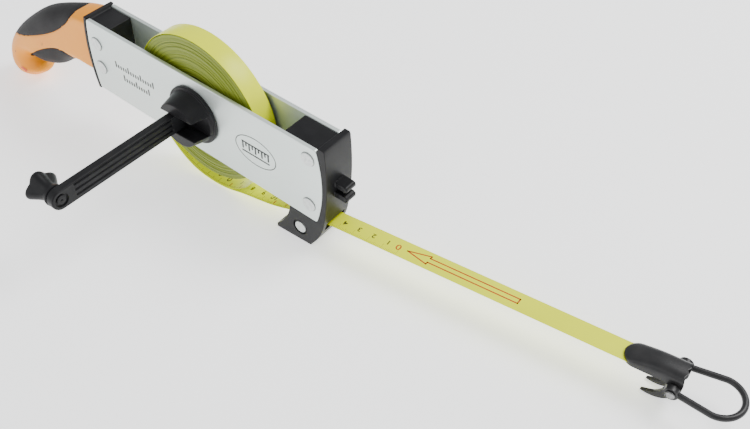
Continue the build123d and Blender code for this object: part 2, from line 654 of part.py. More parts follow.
def tip_rivet(u):
    """Small rivet through the hood's floor and the blade."""
    middle = (HOOD_BOTTOM + TIP_RIVET_TOP) / 2
    shank = Pos(u, 0, middle) * Cylinder(TIP_RIVET_R, TIP_RIVET_TOP - HOOD_BOTTOM)
    head = Pos(u, 0, HOOD_BOTTOM - TIP_RIVET_HEAD_H / 2)
    head = head * Cylinder(TIP_RIVET_HEAD_R, TIP_RIVET_HEAD_H)
    return HOOK * (shank + head)


def hook_axle():
    """Rivet that the ring and the claw both turn on."""
    place = (AXLE_U, AXLE_W)
    shank = rod_y(AXLE_R, -AXLE_HALF, AXLE_HALF, place)
    near = rod_y(AXLE_HEAD_R, -AXLE_HALF - AXLE_HEAD_H, -AXLE_HALF, place)
    far = rod_y(AXLE_HEAD_R, AXLE_HALF, AXLE_HALF + AXLE_HEAD_H, place)
    return HOOK * (shank + near + far)


def hook_bail():
    """Wire ring with an eye on each side of the hood, level with the axle."""
    bow_u = BAIL_END_U - BAIL_WIDE_V
    start_u = AXLE_U + 3.0
    path = Wire([
        Line((start_u, -BAIL_EYE_V), (bow_u, -BAIL_WIDE_V)),
        ThreePointArc((bow_u, -BAIL_WIDE_V), (BAIL_END_U, 0), (bow_u, BAIL_WIDE_V)),
        Line((bow_u, BAIL_WIDE_V), (start_u, BAIL_EYE_V)),
    ])
    section = Plane(origin=path @ 0, z_dir=path % 0) * Circle(BAIL_WIRE_R)
    ring = Pos(0, 0, AXLE_W) * sweep(section, path=path, transition=Transition.ROUND)
    place = (AXLE_U, AXLE_W)
    for side in (-1, 1):
        low, high = sorted((side * (BAIL_EYE_V - BAIL_EYE_IN), side * (BAIL_EYE_V + BAIL_EYE_OUT)))
        ring = ring + rod_y(EAR_R, low, high, place)
    bore = rod_y(AXLE_R + RUN_GAP, -20, 20, place)
    return HOOK * (ring - bore)


def hook_claw():
    """Folding claw: two back-pointing spikes joined by a web, with an eye on each side."""
    spike = xz_face([
        Line((11.0, -17.9), (17.6, -15.4)),
        ThreePointArc((17.6, -15.4), (20.8, -12.2), (AXLE_U - 3.4, AXLE_W - 1.6)),
        Line((AXLE_U - 3.4, AXLE_W - 1.6), (AXLE_U + 3.0, AXLE_W - 2.0)),
        ThreePointArc((AXLE_U + 3.0, AXLE_W - 2.0), (27.6, -12.8), (23.4, -17.0)),
        ThreePointArc((23.4, -17.0), (18.6, -18.6), (11.0, -17.9)),
    ])
    web = xz_face([
        Line((21.6, -11.4), (AXLE_U - 2.0, AXLE_W - 4.2)),
        Line((AXLE_U - 2.0, AXLE_W - 4.2), (AXLE_U + 1.6, AXLE_W - 4.6)),
        Line((AXLE_U + 1.6, AXLE_W - 4.6), (23.8, -15.6)),
        Line((23.8, -15.6), (21.6, -11.4)),
    ])
    claw = slab(web, -CLAW_OUTER, CLAW_OUTER)
    place = (AXLE_U, AXLE_W)
    for side in (-1, 1):
        low, high = sorted((side * CLAW_INNER, side * CLAW_OUTER))
        claw = claw + slab(spike, low, high) + rod_y(EAR_R, low, high, place)
    return HOOK * (claw - rod_y(AXLE_R + RUN_GAP, -20, 20, place))


os.makedirs("parts", exist_ok=True)
right_blank, left_blank = side_plates()
tail = tail_block(right_blank, left_blank)
grip = handle_parts(tail, (right_blank, left_blank))
nodes = {
    "side_plate_right": STANCE * finished_plate(right_blank),
    "side_plate_left": STANCE * finished_plate(left_blank),
    "nose_block": nose_block(right_blank, left_blank),
    "tail_block": tail,
    "rear_rivets": STANCE * Compound(children=[rivet(place) for place in REAR_RIVETS]),
    "front_rivets": STANCE * Compound(children=[rivet(place) for place in FRONT_RIVETS]),
    "guide_roller": guide_roller(),
    "guide_roller_pin": guide_roller_pin(),
    "handle_half_right": grip[0],
    "handle_half_left": grip[1],
    "back_grip_pad": grip[2],
    "finger_grip_pad": grip[3],
    "handle_screws": STANCE * Compound(children=[handle_screw(place) for place in SCREWS]),
    "spindle_bush_right": spindle_bush(-1),
    "spindle_bush_left": spindle_bush(1),
    "reel_core": reel_core(),
    "tape_anchor_pin": tape_anchor_pin(),
    "tape_coil": tape_coil(),
    "reel_spindle": reel_spindle(),
    "spindle_cap": spindle_cap(),
    "crank_hub": crank_hub(),
    "hub_screw": hub_screw(),
    "crank_pivot_pin": crank_pivot_pin(),
    "crank_arm": crank_arm(),
    "knob_pin": knob_pin(),
    "crank_knob": crank_knob(),
    "tape_lead": tape_lead(),
    "tape_run": tape_run(),
    "hook_hood": hook_hood(),
    "tape_tip": tape_tip(),
    "tip_rivets": Compound(children=[tip_rivet(u) for u in TIP_RIVETS]),
    "hook_axle": hook_axle(),
    "hook_bail": hook_bail(),
    "hook_claw": hook_claw(),
}
for node_name, node_shape in nodes.items():
    write(node_name, node_shape)
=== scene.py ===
import json
from math import atan2, ceil, cos, hypot, pi, radians, sin, sqrt
from random import Random

import bmesh
import bpy
from mathutils import Matrix, Vector
from mathutils.geometry import delaunay_2d_cdt, interpolate_bezier

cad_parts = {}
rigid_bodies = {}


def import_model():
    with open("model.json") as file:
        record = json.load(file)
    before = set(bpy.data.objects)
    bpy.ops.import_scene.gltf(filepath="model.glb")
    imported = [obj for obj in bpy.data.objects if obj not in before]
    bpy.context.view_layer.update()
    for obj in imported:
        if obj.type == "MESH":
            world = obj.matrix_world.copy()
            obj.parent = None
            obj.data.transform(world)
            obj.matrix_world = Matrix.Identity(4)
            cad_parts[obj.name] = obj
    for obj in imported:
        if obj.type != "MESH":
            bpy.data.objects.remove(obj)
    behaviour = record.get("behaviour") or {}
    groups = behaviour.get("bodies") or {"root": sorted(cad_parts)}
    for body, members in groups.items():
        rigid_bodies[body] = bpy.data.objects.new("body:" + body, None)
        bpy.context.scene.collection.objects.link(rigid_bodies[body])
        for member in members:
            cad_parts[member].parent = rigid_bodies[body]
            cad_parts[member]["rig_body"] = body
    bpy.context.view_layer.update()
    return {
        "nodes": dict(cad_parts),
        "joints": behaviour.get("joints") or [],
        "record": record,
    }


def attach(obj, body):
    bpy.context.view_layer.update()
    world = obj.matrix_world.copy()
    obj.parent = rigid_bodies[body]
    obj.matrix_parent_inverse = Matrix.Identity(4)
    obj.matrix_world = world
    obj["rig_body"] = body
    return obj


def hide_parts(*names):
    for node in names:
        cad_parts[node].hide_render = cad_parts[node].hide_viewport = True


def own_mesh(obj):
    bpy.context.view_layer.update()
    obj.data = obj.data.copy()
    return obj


# Looks of the open-reel measuring tape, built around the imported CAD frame. Sizes are in
# metres. Side views are given in the plate frame: x along the plates and z across them, from
# the reel's axis. The outer tape has its own run frame: u along it, v to its left, w up.

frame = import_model()
nodes = frame["nodes"]
joints = {joint["name"]: joint for joint in frame["joints"]}

MM = 0.001
AXLE = Vector(joints["reel_spin"]["pos_m"])
PITCH = radians(3.72)
PLATE = Matrix.Translation(AXLE) @ Matrix.Rotation(PITCH, 4, "Y")
RUN_AXIS = Vector(joints["tape_slide"]["axis"])
RUN_SIDE = Vector((0, 0, 1)).cross(RUN_AXIS)
MOUTH = Vector((16.5, 0.25, 19.0)) * MM
RUN = Matrix.Translation(MOUTH) @ Matrix((RUN_AXIS, RUN_SIDE, (0, 0, 1))).transposed().to_4x4()
HOOD_U = 190.5 * MM
TAPE_WIDTH = 13.0 * MM
TAPE_THICK = 0.3 * MM
PLATE_FACE_Y = -11.3 * MM

# camera at the photograph's viewing angle, in metres, with the lens in millimetres
CAMERA_PLACE = (0.29504, -0.28848, 0.40651)
CAMERA_RIGHT = Vector((0.78354, 0.62087, -0.02411))
CAMERA_UP = Vector((-0.41986, 0.55766, 0.71605))
CAMERA_LENS = 45.09
SENSOR = 36.0
CLIP = (0.01, 20)


# ---------------------------------------------------------------- meshes

MERGE_DISTANCE = 0.002 * MM
FLAT_ANGLE = 0.6
BEVEL_ANGLE = 38
BEVEL_STEPS = 3
TAPE_EDGE_START = 0.96
TAPE_EDGE_THICK = 0.55


def link(name, mesh):
    """A new object holding this mesh."""
    piece = bpy.data.objects.new(name, mesh)
    bpy.context.scene.collection.objects.link(piece)
    return piece


def from_faces(name, points, faces, place=None, sharp_angle=40):
    """An object from points and faces, shaded smooth with sharp edges above an angle."""
    mesh = bpy.data.meshes.new(name)
    mesh.from_pydata([tuple(point) for point in points], [], faces)
    if place is not None:
        mesh.transform(place)
    shade(mesh, sharp_angle)
    return link(name, mesh)


def shade(mesh, sharp_angle):
    """Smooth shading with edges sharper than an angle left sharp, and outward normals."""
    bm = bmesh.new()
    bm.from_mesh(mesh)
    bmesh.ops.recalc_face_normals(bm, faces=bm.faces)
    bm.to_mesh(mesh)
    bm.free()
    mesh.polygons.foreach_set("use_smooth", [True] * len(mesh.polygons))
    mesh.set_sharp_from_angle(angle=radians(sharp_angle))


def settle(piece, body, material, replaced=()):
    """Gives a finished piece its material and its body, and hides the CAD nodes it stands for."""
    piece.data.materials.clear()
    piece.data.materials.append(material)
    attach(piece, body)
    if replaced:
        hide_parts(*replaced)
    return piece


def softened(node, bevel, material):
    """A copy of a CAD node with small round edges, which stands for the node."""
    source = nodes[node]
    mesh = source.data.copy()
    bm = bmesh.new()
    bm.from_mesh(mesh)
    bmesh.ops.remove_doubles(bm, verts=bm.verts, dist=MERGE_DISTANCE)
    bmesh.ops.dissolve_limit(bm, angle_limit=radians(FLAT_ANGLE), verts=bm.verts, edges=bm.edges)
    bmesh.ops.triangulate(bm, faces=bm.faces)
    bm.to_mesh(mesh)
    bm.free()
    mesh.polygons.foreach_set("use_smooth", [True] * len(mesh.polygons))
    piece = link(node + "_soft", mesh)
    rounding = piece.modifiers.new("round", "BEVEL")
    rounding.width = bevel
    rounding.segments = BEVEL_STEPS
    rounding.limit_method = "ANGLE"
    rounding.angle_limit = radians(BEVEL_ANGLE)
    rounding.use_clamp_overlap = False
    rounding.miter_outer = "MITER_ARC"
    weighting = piece.modifiers.new("even", "WEIGHTED_NORMAL")
    weighting.keep_sharp = True
    graph = bpy.context.evaluated_depsgraph_get()
    rounded = bpy.data.meshes.new_from_object(piece.evaluated_get(graph))
    piece.modifiers.clear()
    piece.data = rounded
    return settle(piece, source["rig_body"], material, (node,))


def ring_sides(rings, count, closed=False):
    """Quads between rings of points, and from the last ring to the first where closed."""
    faces = []
    for ring in range(rings if closed else rings - 1):
        here = ring * count
        there = (ring + 1) % rings * count
        for corner in range(count):
            after = (corner + 1) % count
            faces.append((here + corner, here + after, there + after, there + corner))
    return faces


def prism_faces(count):
    """Faces of a prism whose two ends have this many corners each."""
    ends = [tuple(range(count)), tuple(range(count, 2 * count))[::-1]]
    return ends + ring_sides(2, count)


def ribbon(name, path, half_width, thickness, place):
    """A strip that follows (x, z) points, as wide as the tape, with thickness and soft ends."""
    inner = half_width * TAPE_EDGE_START
    across = [-half_width, -inner, inner, half_width]
    points = []
    for index, (x, z) in enumerate(path):
        before = path[max(index - 1, 0)]
        after = path[min(index + 1, len(path) - 1)]
        slope = atan2(after[1] - before[1], after[0] - before[0])
        normal = (-sin(slope), cos(slope))
        for lift, row in ((-0.5, across), (0.5, across[::-1])):
            for side in row:
                edge = TAPE_EDGE_THICK if abs(side) == half_width else 1.0
                offset = lift * thickness * edge
                points.append((x + normal[0] * offset, side, z + normal[1] * offset))
    ring = 2 * len(across)
    faces = ring_sides(len(path), ring)
    faces.append(tuple(range(ring)))
    faces.append(tuple(range((len(path) - 1) * ring, len(path) * ring))[::-1])
    return from_faces(name, points, faces, place, 30)


def smooth_path(points, steps):
    """Points along a smooth curve through a few (x, z) points."""
    result = []
    last = len(points) - 1
    for index in range(last):
        p0 = Vector(points[max(index - 1, 0)])
        p1 = Vector(points[index])
        p2 = Vector(points[index + 1])
        p3 = Vector(points[min(index + 2, last)])
        span = (p2 - p1).length
        start = (p2 - p0).normalized() * span / 3
        finish = (p3 - p1).normalized() * span / 3
        part = interpolate_bezier(p1, p1 + start, p2 - finish, p2, steps + 1)
        result += [tuple(point[:2]) for point in part[:-1]]
    return result + [tuple(points[last])]


def lathe(name, profile, sides, place, radius_at=None):
    """A turned shape: (radius, along) points round +Z, with an optional lobe function."""
    points = []
    for radius, along in profile:
        for side in range(sides):
            angle = 2 * pi * side / sides
            actual = radius_at(radius, along, angle) if radius_at else radius
            points.append((actual * cos(angle), actual * sin(angle), along))
    faces = ring_sides(len(profile), sides)
    faces.append(tuple(range(sides))[::-1])
    faces.append(tuple(range((len(profile) - 1) * sides, len(profile) * sides)))
    return from_faces(name, points, faces, place, 40)


# ---------------------------------------------------------------- materials

def new_material(name):
    """A material with its node tree and its main shader."""
    material = bpy.data.materials.new(name)
    material.use_nodes = True
    tree = material.node_tree
    return material, tree, tree.nodes["Principled BSDF"]


def noise(tree, scale, detail=3.0, stretch=(1, 1, 1)):
    """Noise in the object's own coordinates, optionally stretched into a grain."""
    coords = tree.nodes.new("ShaderNodeTexCoord")
    mapping = tree.nodes.new("ShaderNodeMapping")
    mapping.inputs["Scale"].default_value = stretch
    texture = tree.nodes.new("ShaderNodeTexNoise")
    texture.inputs["Scale"].default_value = scale
    texture.inputs["Detail"].default_value = detail
    tree.links.new(coords.outputs["Object"], mapping.inputs["Vector"])
    tree.links.new(mapping.outputs["Vector"], texture.inputs["Vector"])
    return texture.outputs["Fac"]


def spread(tree, factor, low, high):
    """A value that goes from low to high as the factor goes over its middle range."""
    node = tree.nodes.new("ShaderNodeMapRange")
    node.inputs["From Min"].default_value = 0.3
    node.inputs["From Max"].default_value = 0.7
    node.inputs["To Min"].default_value = low
    node.inputs["To Max"].default_value = high
    tree.links.new(factor, node.inputs["Value"])
    return node.outputs["Result"]


def blend_colour(tree, factor, dark, light):
    """Mixes two colours by a factor."""
    node = tree.nodes.new("ShaderNodeMix")
    node.data_type = "RGBA"
    node.inputs["A"].default_value = (*dark, 1)
    node.inputs["B"].default_value = (*light, 1)
    tree.links.new(factor, node.inputs["Factor"])
    return node.outputs["Result"]


def relief(tree, shader, height, strength, depth):
    """Fine bumps on a shader."""
    node = tree.nodes.new("ShaderNodeBump")
    node.inputs["Strength"].default_value = strength
    node.inputs["Distance"].default_value = depth
    tree.links.new(height, node.inputs["Height"])
    tree.links.new(node.outputs["Normal"], shader.inputs["Normal"])


def plain_finish(name, dark, light, rough, metal, bump, grain=2600, cloud=45,
                 stretch=(1, 1, 1), shine=0.5):
    """A finish with slow colour drift, uneven gloss and a fine surface grain."""
    material, tree, shader = new_material(name)
    slow = noise(tree, cloud)
    fine = noise(tree, grain, 4.0, stretch)
    colour = blend_colour(tree, spread(tree, slow, 0.0, 1.0), dark, light)
    tree.links.new(colour, shader.inputs["Base Color"])
    tree.links.new(spread(tree, fine, rough - 0.05, rough + 0.05), shader.inputs["Roughness"])
    shader.inputs["Metallic"].default_value = metal
    shader.inputs["Specular IOR Level"].default_value = shine
    relief(tree, shader, fine, bump, 0.1 * MM)
    return material


def anodised():
    """Pale satin metal of the side plates, with a faint grain."""
    return plain_finish("satin_anodised", (0.72, 0.79, 0.76), (0.78, 0.84, 0.81), 0.42, 0.75,
                        0.05, 1800, 20, (1, 1, 6))


def bright_rivet():
    """Bright, slightly hammered rivet metal."""
    return plain_finish("rivet_aluminium", (0.60, 0.63, 0.62), (0.78, 0.80, 0.79), 0.34, 0.75,
                        0.25, 1500, 500)


def turned_steel():
    """Steel with fine turning marks."""
    return plain_finish("turned_steel", (0.50, 0.50, 0.50), (0.60, 0.60, 0.60), 0.28, 0.95,
                        0.08, 2200, 100, (1, 8, 1))


def worn_steel():
    """Dark steel, unevenly worn."""
    return plain_finish("worn_steel", (0.16, 0.16, 0.16), (0.34, 0.34, 0.34), 0.38, 0.7,
                        0.3, 1500, 700)


def black_moulding():
    """Hard black plastic with a fine texture."""
    return plain_finish("black_moulding", (0.007, 0.007, 0.008), (0.013, 0.013, 0.014), 0.40,
                        0.0, 0.35, 3200, 90, shine=0.2)


def white_moulding():
    """Off-white plastic."""
    return plain_finish("white_moulding", (0.70, 0.70, 0.66), (0.80, 0.80, 0.77), 0.5, 0.0, 0.2)


def orange_moulding():
    """Orange plastic of the handle."""
    return plain_finish("orange_moulding", (0.92, 0.31, 0.002), (0.96, 0.35, 0.006), 0.42,
                        0.0, 0.18, 2600, 30, shine=0.35)


def soft_rubber():
    """Dull dark rubber of the grip pads."""
    return plain_finish("soft_rubber", (0.009, 0.008, 0.009), (0.016, 0.015, 0.016), 0.60, 0.0,
                        0.55, 2400, 70, shine=0.2)


def hook_enamel():
    """Dark enamel of the end hook."""
    return plain_finish("hook_enamel", (0.014, 0.014, 0.015), (0.024, 0.023, 0.024), 0.36, 0.1,
                        0.25, 2000, 160, shine=0.35)


def tape_lacquer():
    """Yellow lacquer of the tape."""
    return plain_finish("tape_lacquer", (0.84, 0.91, 0.0), (0.90, 0.97, 0.002), 0.34, 0.0,
                        0.06, 1500, 25, shine=0.35)


def print_ink(name, colour):
    """Printed ink, also used as painted shade round the rivets and in the cord slot, that varies a
    little in depth.
    """
    dark = tuple(channel * 0.7 for channel in colour)
    return plain_finish(name, dark, colour, 0.5, 0.0, 0.1, 4000, 900)


def coil_side():
    """Edges of the wound turns: thin light and dark rings round the reel's axis."""
    material, tree, shader = new_material("coil_edges")
    coords = tree.nodes.new("ShaderNodeTexCoord")
    shifted = tree.nodes.new("ShaderNodeVectorMath")
    shifted.operation = "SUBTRACT"
    shifted.inputs[1].default_value = AXLE
    flat = tree.nodes.new("ShaderNodeVectorMath")
    flat.operation = "MULTIPLY"
    flat.inputs[1].default_value = (1, 0, 1)
    length = tree.nodes.new("ShaderNodeVectorMath")
    length.operation = "LENGTH"
    tree.links.new(coords.outputs["Object"], shifted.inputs[0])
    tree.links.new(shifted.outputs["Vector"], flat.inputs[0])
    tree.links.new(flat.outputs["Vector"], length.inputs[0])
    rings = tree.nodes.new("ShaderNodeTexNoise")
    rings.noise_dimensions = "1D"
    rings.inputs["Scale"].default_value = 1600
    rings.inputs["Detail"].default_value = 2
    tree.links.new(length.outputs["Value"], rings.inputs["W"])
    colour = blend_colour(tree, spread(tree, rings.outputs["Fac"], 0.0, 1.0),
                          (0.11, 0.15, 0.008), (0.30, 0.36, 0.018))
    tree.links.new(colour, shader.inputs["Base Color"])
    shader.inputs["Roughness"].default_value = 0.5
    shader.inputs["Metallic"].default_value = 0.15
    relief(tree, shader, rings.outputs["Fac"], 0.4, 0.1 * MM)
    return material


def floor_paper():
    """White paper, lit a little from behind."""
    material = plain_finish("studio_floor", (0.94, 0.94, 0.94), (0.96, 0.96, 0.96), 0.9, 0.0,
                            0.02, 200, 6, shine=0.1)
    shader = material.node_tree.nodes["Principled BSDF"]
    shader.inputs["Emission Color"].default_value = (1, 1, 1, 1)
    shader.inputs["Emission Strength"].default_value = 1.0
    return material


PLATES = anodised()
RIVETS = bright_rivet()
STEEL = turned_steel()
WORN_STEEL = worn_steel()
BLACK = black_moulding()
WHITE = white_moulding()
ORANGE = orange_moulding()
RUBBER = soft_rubber()
ENAMEL = hook_enamel()
TAPE = tape_lacquer()
COIL_SIDE = coil_side()
BLACK_INK = print_ink("black_ink", (0.012, 0.012, 0.008))
GREY_INK = print_ink("grey_ink", (0.14, 0.15, 0.03))
RED_INK = print_ink("red_ink", (0.62, 0.012, 0.004))
MARK_INK = print_ink("plate_ink", (0.02, 0.022, 0.022))
# Painted shade: a grey ring round each rivet head stands for the shade at its edge.
PAINTED_RIVET_SHADE = print_ink("rivet_painted_shade", (0.30, 0.32, 0.31))
SEAM_INK = print_ink("grip_seam", (0.55, 0.16, 0.03))
# Painted shade: the cord slot's recess is drawn as a flat darker red mark.
SLOT_PAINTED_SHADE = print_ink("cord_slot_painted_shade", (0.90, 0.09, 0.004))
FLOOR = floor_paper()
SLOT_MATERIALS = {"plates": PLATES, "rivets": RIVETS, "steel": STEEL, "black_plastic": BLACK,
                  "black_pin": BLACK, "white_plastic": WHITE, "orange_plastic": ORANGE,
                  "soft_grip": RUBBER, "tape": TAPE, "hook_paint": ENAMEL}


def dress_cad_nodes():
    """Every CAD node takes the material of its slot."""
    slots = {part["node"]: part["material_slot"] for part in frame["record"]["subparts"]}
    for name, node in nodes.items():
        node.data.materials.clear()
        node.data.materials.append(SLOT_MATERIALS[slots[name]])


# ---------------------------------------------------------------- hard parts

SOFT_EDGES = [
    ("nose_block", 0.45, BLACK, "black_plastic"),
    ("tail_block", 0.4, BLACK, "black_plastic"),
    ("rear_rivets", 0.45, RIVETS, "rivets"),
    ("front_rivets", 0.45, RIVETS, "rivets"),
    ("guide_roller_pin", 0.4, RIVETS, "rivets"),
    ("crank_hub", 0.5, BLACK, "black_plastic"),
    ("crank_arm", 0.22, BLACK, "black_plastic"),
    ("knob_pin", 0.18, BLACK, "black_pin"),
    ("hook_claw", 0.4, ENAMEL, "hook_paint"),
    ("hook_axle", 0.45, WORN_STEEL, "rivets"),
]


def soften_hard_parts():
    """Round-edged copies of the hard parts in the list."""
    for node, bevel, material, slot in SOFT_EDGES:
        softened(node, bevel * MM, material)


PLATE_THICK = 2.5
PLATE_ENDS = [((-92.2, 25.8), (96.0, 26.1)), ((95.8, -29.8), (-91.9, -27.2))]
PLATE_BULGES = [(100.1, -2.0), (-94.7, -0.7)]
PLATE_CORNER = 1.2
PLATE_MIDDLE = (2.0, -1.0)
BOW_STEPS = 20
ROUND_EDGE = [(0.35, 0.0), (0.18, 0.05), (0.05, 0.18), (0.0, 0.35)]


def bowed(start, bulge, finish):
    """Points on a shallow arc, as a parabola through three points."""
    points = []
    for step in range(BOW_STEPS + 1):
        t = step / BOW_STEPS
        control = [2 * bulge[i] - (start[i] + finish[i]) / 2 for i in range(2)]
        points.append(tuple((1 - t) ** 2 * start[i] + 2 * t * (1 - t) * control[i]
                            + t * t * finish[i] for i in range(2)))
    return points


def plate_outline():
    """Side view of a plate with small round corners."""
    (top_rear, top_front), (low_front, low_rear) = PLATE_ENDS
    front = bowed(top_front, PLATE_BULGES[0], low_front)
    rear = bowed(low_rear, PLATE_BULGES[1], top_rear)
    sharp = front + rear
    corners = (0, BOW_STEPS, BOW_STEPS + 1, 2 * BOW_STEPS + 1)
    rounded = []
    for index, point in enumerate(sharp):
        before = Vector(sharp[index - 1])
        after = Vector(sharp[(index + 1) % len(sharp)])
        here = Vector(point)
        if index in corners:
            one = here + (before - here).normalized() * PLATE_CORNER
            two = here + (after - here).normalized() * PLATE_CORNER
            rounded += [tuple(p[:2]) for p in interpolate_bezier(one, (one + here) / 2,
                                                                 (two + here) / 2, two, 5)]
        else:
            rounded.append(point)
    return rounded


def plate_panel(node, side):
    """A flat side plate with softly rounded edges."""
    outline = plate_outline()
    far_edge = [(inset, PLATE_THICK - depth) for inset, depth in ROUND_EDGE[::-1]]
    layers = ROUND_EDGE + far_edge
    face_y = abs(PLATE_FACE_Y) / MM
    points = []
    for inset, depth in layers:
        for x, z in outline:
            px = x - inset * (1 if x > PLATE_MIDDLE[0] else -1)
            pz = z - inset * (1 if z > PLATE_MIDDLE[1] else -1)
            points.append((px * MM, side * (face_y - depth) * MM, pz * MM))
    count = len(outline)
    faces = [tuple(range(count)), tuple(range((len(layers) - 1) * count, len(layers) * count))]
    faces += ring_sides(len(layers), count)
    piece = from_faces(node + "_panel", points, faces, PLATE, 20)
    settle(piece, "frame", PLATES, (node,))


# ---------------------------------------------------------------- grip

GRIP_HALF = 11.0 * MM
GRIP_END_X = -94.5
NECK_ROUND = 4.0
BODY_ROUND = 11.0
GROOVE_DEPTH = 0.45
GROOVE_SIDE = 0.55
GROOVE_EDGE_GAP = 0.3
ROUND_START_X = -100.0
ROUND_REACH = 30.0
RIM_ANGLES = range(8, 90, 9)
RIM_CLEARANCE = 0.96
RIM_END_GAP = 0.2
FIELD_START = (-206.0, -72.0)
FIELD_STEP = 2.2
FIELD_ROWS = 46
FIELD_COLUMNS = 54
FIELD_ROW_SHARE = 0.9
FIELD_CLEARANCE = 0.85
FIELD_PAD_GAP = 1.2
BACK_PAD_BEYOND = [(-230.0, 0.0), (-150.0, 60.0)]
FINGER_PAD_BEYOND = [(-176.0, -50.5), (-165.0, -52.6), (-140.0, -70.0)]
GRIP_MERGE = 0.02 * MM
CURVE_STEPS = 8
BACK_LINE = [(-94.5, 24.3), (-98.0, 24.4), (-114.0, 21.0), (-133.0, 13.5), (-150.0, 4.5),
             (-170.0, -10.5), (-188.0, -26.5), (-200.5, -41.5), (-205.8, -55.5), (-204.0, -65.5),
             (-195.5, -71.6), (-185.0, -69.4), (-176.5, -64.0), (-171.0, -58.6), (-173.4, -54.2),
             (-179.0, -54.0), (-181.8, -49.6), (-176.5, -45.8), (-168.0, -46.0),
             (-156.0, -43.8), (-143.0, -38.0), (-131.0, -29.0), (-119.0, -22.3),
             (-108.0, -19.2), (-98.0, -18.0), (-94.5, -18.0)]
BACK_PAD_EDGE = [(-106.0, 27.0), (-112.0, 17.0), (-118.0, 10.0), (-127.0, 2.0), (-135.0, -4.0),
                 (-147.0, -11.5), (-162.0, -19.5), (-176.0, -26.0), (-189.0, -31.5),
                 (-201.0, -38.5), (-212.0, -44.0)]
FINGER_PAD_EDGE = [(-110.0, -24.0), (-121.0, -18.0), (-130.0, -16.6), (-140.0, -19.4),
                   (-152.0, -25.8), (-163.0, -33.0), (-172.0, -40.0), (-178.5, -44.6),
                   (-183.0, -49.6), (-180.0, -52.5)]


def nearest_on(path, point):
    """Distance from a point to a path of points, all in millimetres."""
    best = 1e9
    px, pz = point
    for (ax, az), (bx, bz) in zip(path, path[1:]):
        dx, dz = bx - ax, bz - az
        share = ((px - ax) * dx + (pz - az) * dz) / (dx * dx + dz * dz + 1e-12)
        share = min(1.0, max(0.0, share))
        best = min(best, hypot(px - ax - share * dx, pz - az - share * dz))
    return best


def inside(loop, point):
    """True where a point lies inside a closed loop."""
    px, pz = point
    found = False
    for (ax, az), (bx, bz) in zip(loop, loop[1:] + loop[:1]):
        if (az > pz) != (bz > pz) and px < ax + (pz - az) / (bz - az) * (bx - ax):
            found = not found
    return found


def shifted_path(path, distance):
    """A path moved sideways."""
    moved = []
    for index, (x, z) in enumerate(path):
        before = path[max(index - 1, 0)]
        after = path[min(index + 1, len(path) - 1)]
        slope = atan2(after[1] - before[1], after[0] - before[0])
        moved.append((x - sin(slope) * distance, z + cos(slope) * distance))
    return moved


def corner_round(x):
    """Rounding of the grip's sides: small at the neck, and full along the grip."""
    share = min(1.0, max(0.0, (ROUND_START_X - x) / ROUND_REACH))
    share = share * share * (3 - 2 * share)
    return NECK_ROUND + (BODY_ROUND - NECK_ROUND) * share


def pillow(depth, x):
    """Half thickness of the grip at a depth inside its outline, in metres."""
    reach = 1 - min(1.0, depth / corner_round(x))
    return GRIP_HALF * sqrt(max(0.0, 1 - reach * reach))


def rim_points(outline):
    """Rows of points that follow the outline, on the surface's rounded rim."""
    points = []
    for angle in RIM_ANGLES:
        for index, (x, _) in enumerate(outline[1:-1]):
            depth = corner_round(x) * (1 - cos(radians(angle)))
            point = shifted_path(outline[index:index + 3], depth)[1]
            if point[0] < GRIP_END_X - RIM_END_GAP and inside(outline, point):
                if nearest_on(outline, point) > depth * RIM_CLEARANCE:
                    points.append(point)
    return points


def groove_points(outline, edges):
    """Points beside and on each pad's edge, each with True where it lies on the edge."""
    points = []
    for edge in edges:
        for side in (-GROOVE_SIDE, 0.0, GROOVE_SIDE):
            for point in shifted_path(edge, side):
                if inside(outline, point) and nearest_on(outline, point) > GROOVE_EDGE_GAP:
                    points.append((point, side == 0.0))
    return points


def field_points(outline, edges):
    """Staggered rows of points that fill the middle of the grip."""
    points = []
    for row in range(FIELD_ROWS):
        for column in range(FIELD_COLUMNS):
            point = (FIELD_START[0] + column * FIELD_STEP + (row % 2) * FIELD_STEP / 2,
                     FIELD_START[1] + row * FIELD_STEP * FIELD_ROW_SHARE)
            if inside(outline, point) and point[0] < GRIP_END_X - 1:
                clear = nearest_on(outline, point) > corner_round(point[0]) * FIELD_CLEARANCE
                if clear and min(nearest_on(edge, point) for edge in edges) > FIELD_PAD_GAP:
                    points.append(point)
    return points


def numbered_from(faces, start):
    """The same faces with their corners numbered from another start."""
    return [tuple(corner + start for corner in face) for face in faces]


def grip_regions(made, faces, edges):
    """The faces of each pad and of the shell, by where their middles lie."""
    regions = {"back_grip_pad": edges[0] + BACK_PAD_BEYOND,
               "finger_grip_pad": edges[1] + FINGER_PAD_BEYOND}
    groups = {"back_grip_pad": [], "finger_grip_pad": [], "shell": []}
    for face in faces:
        middle = sum((made[corner] for corner in face), Vector((0, 0))) / len(face)
        owner = "shell"
        for pad in ("finger_grip_pad", "back_grip_pad"):
            if inside(regions[pad], (middle.x, middle.y)):
                owner = pad
        groups[owner].append(face)
    return groups


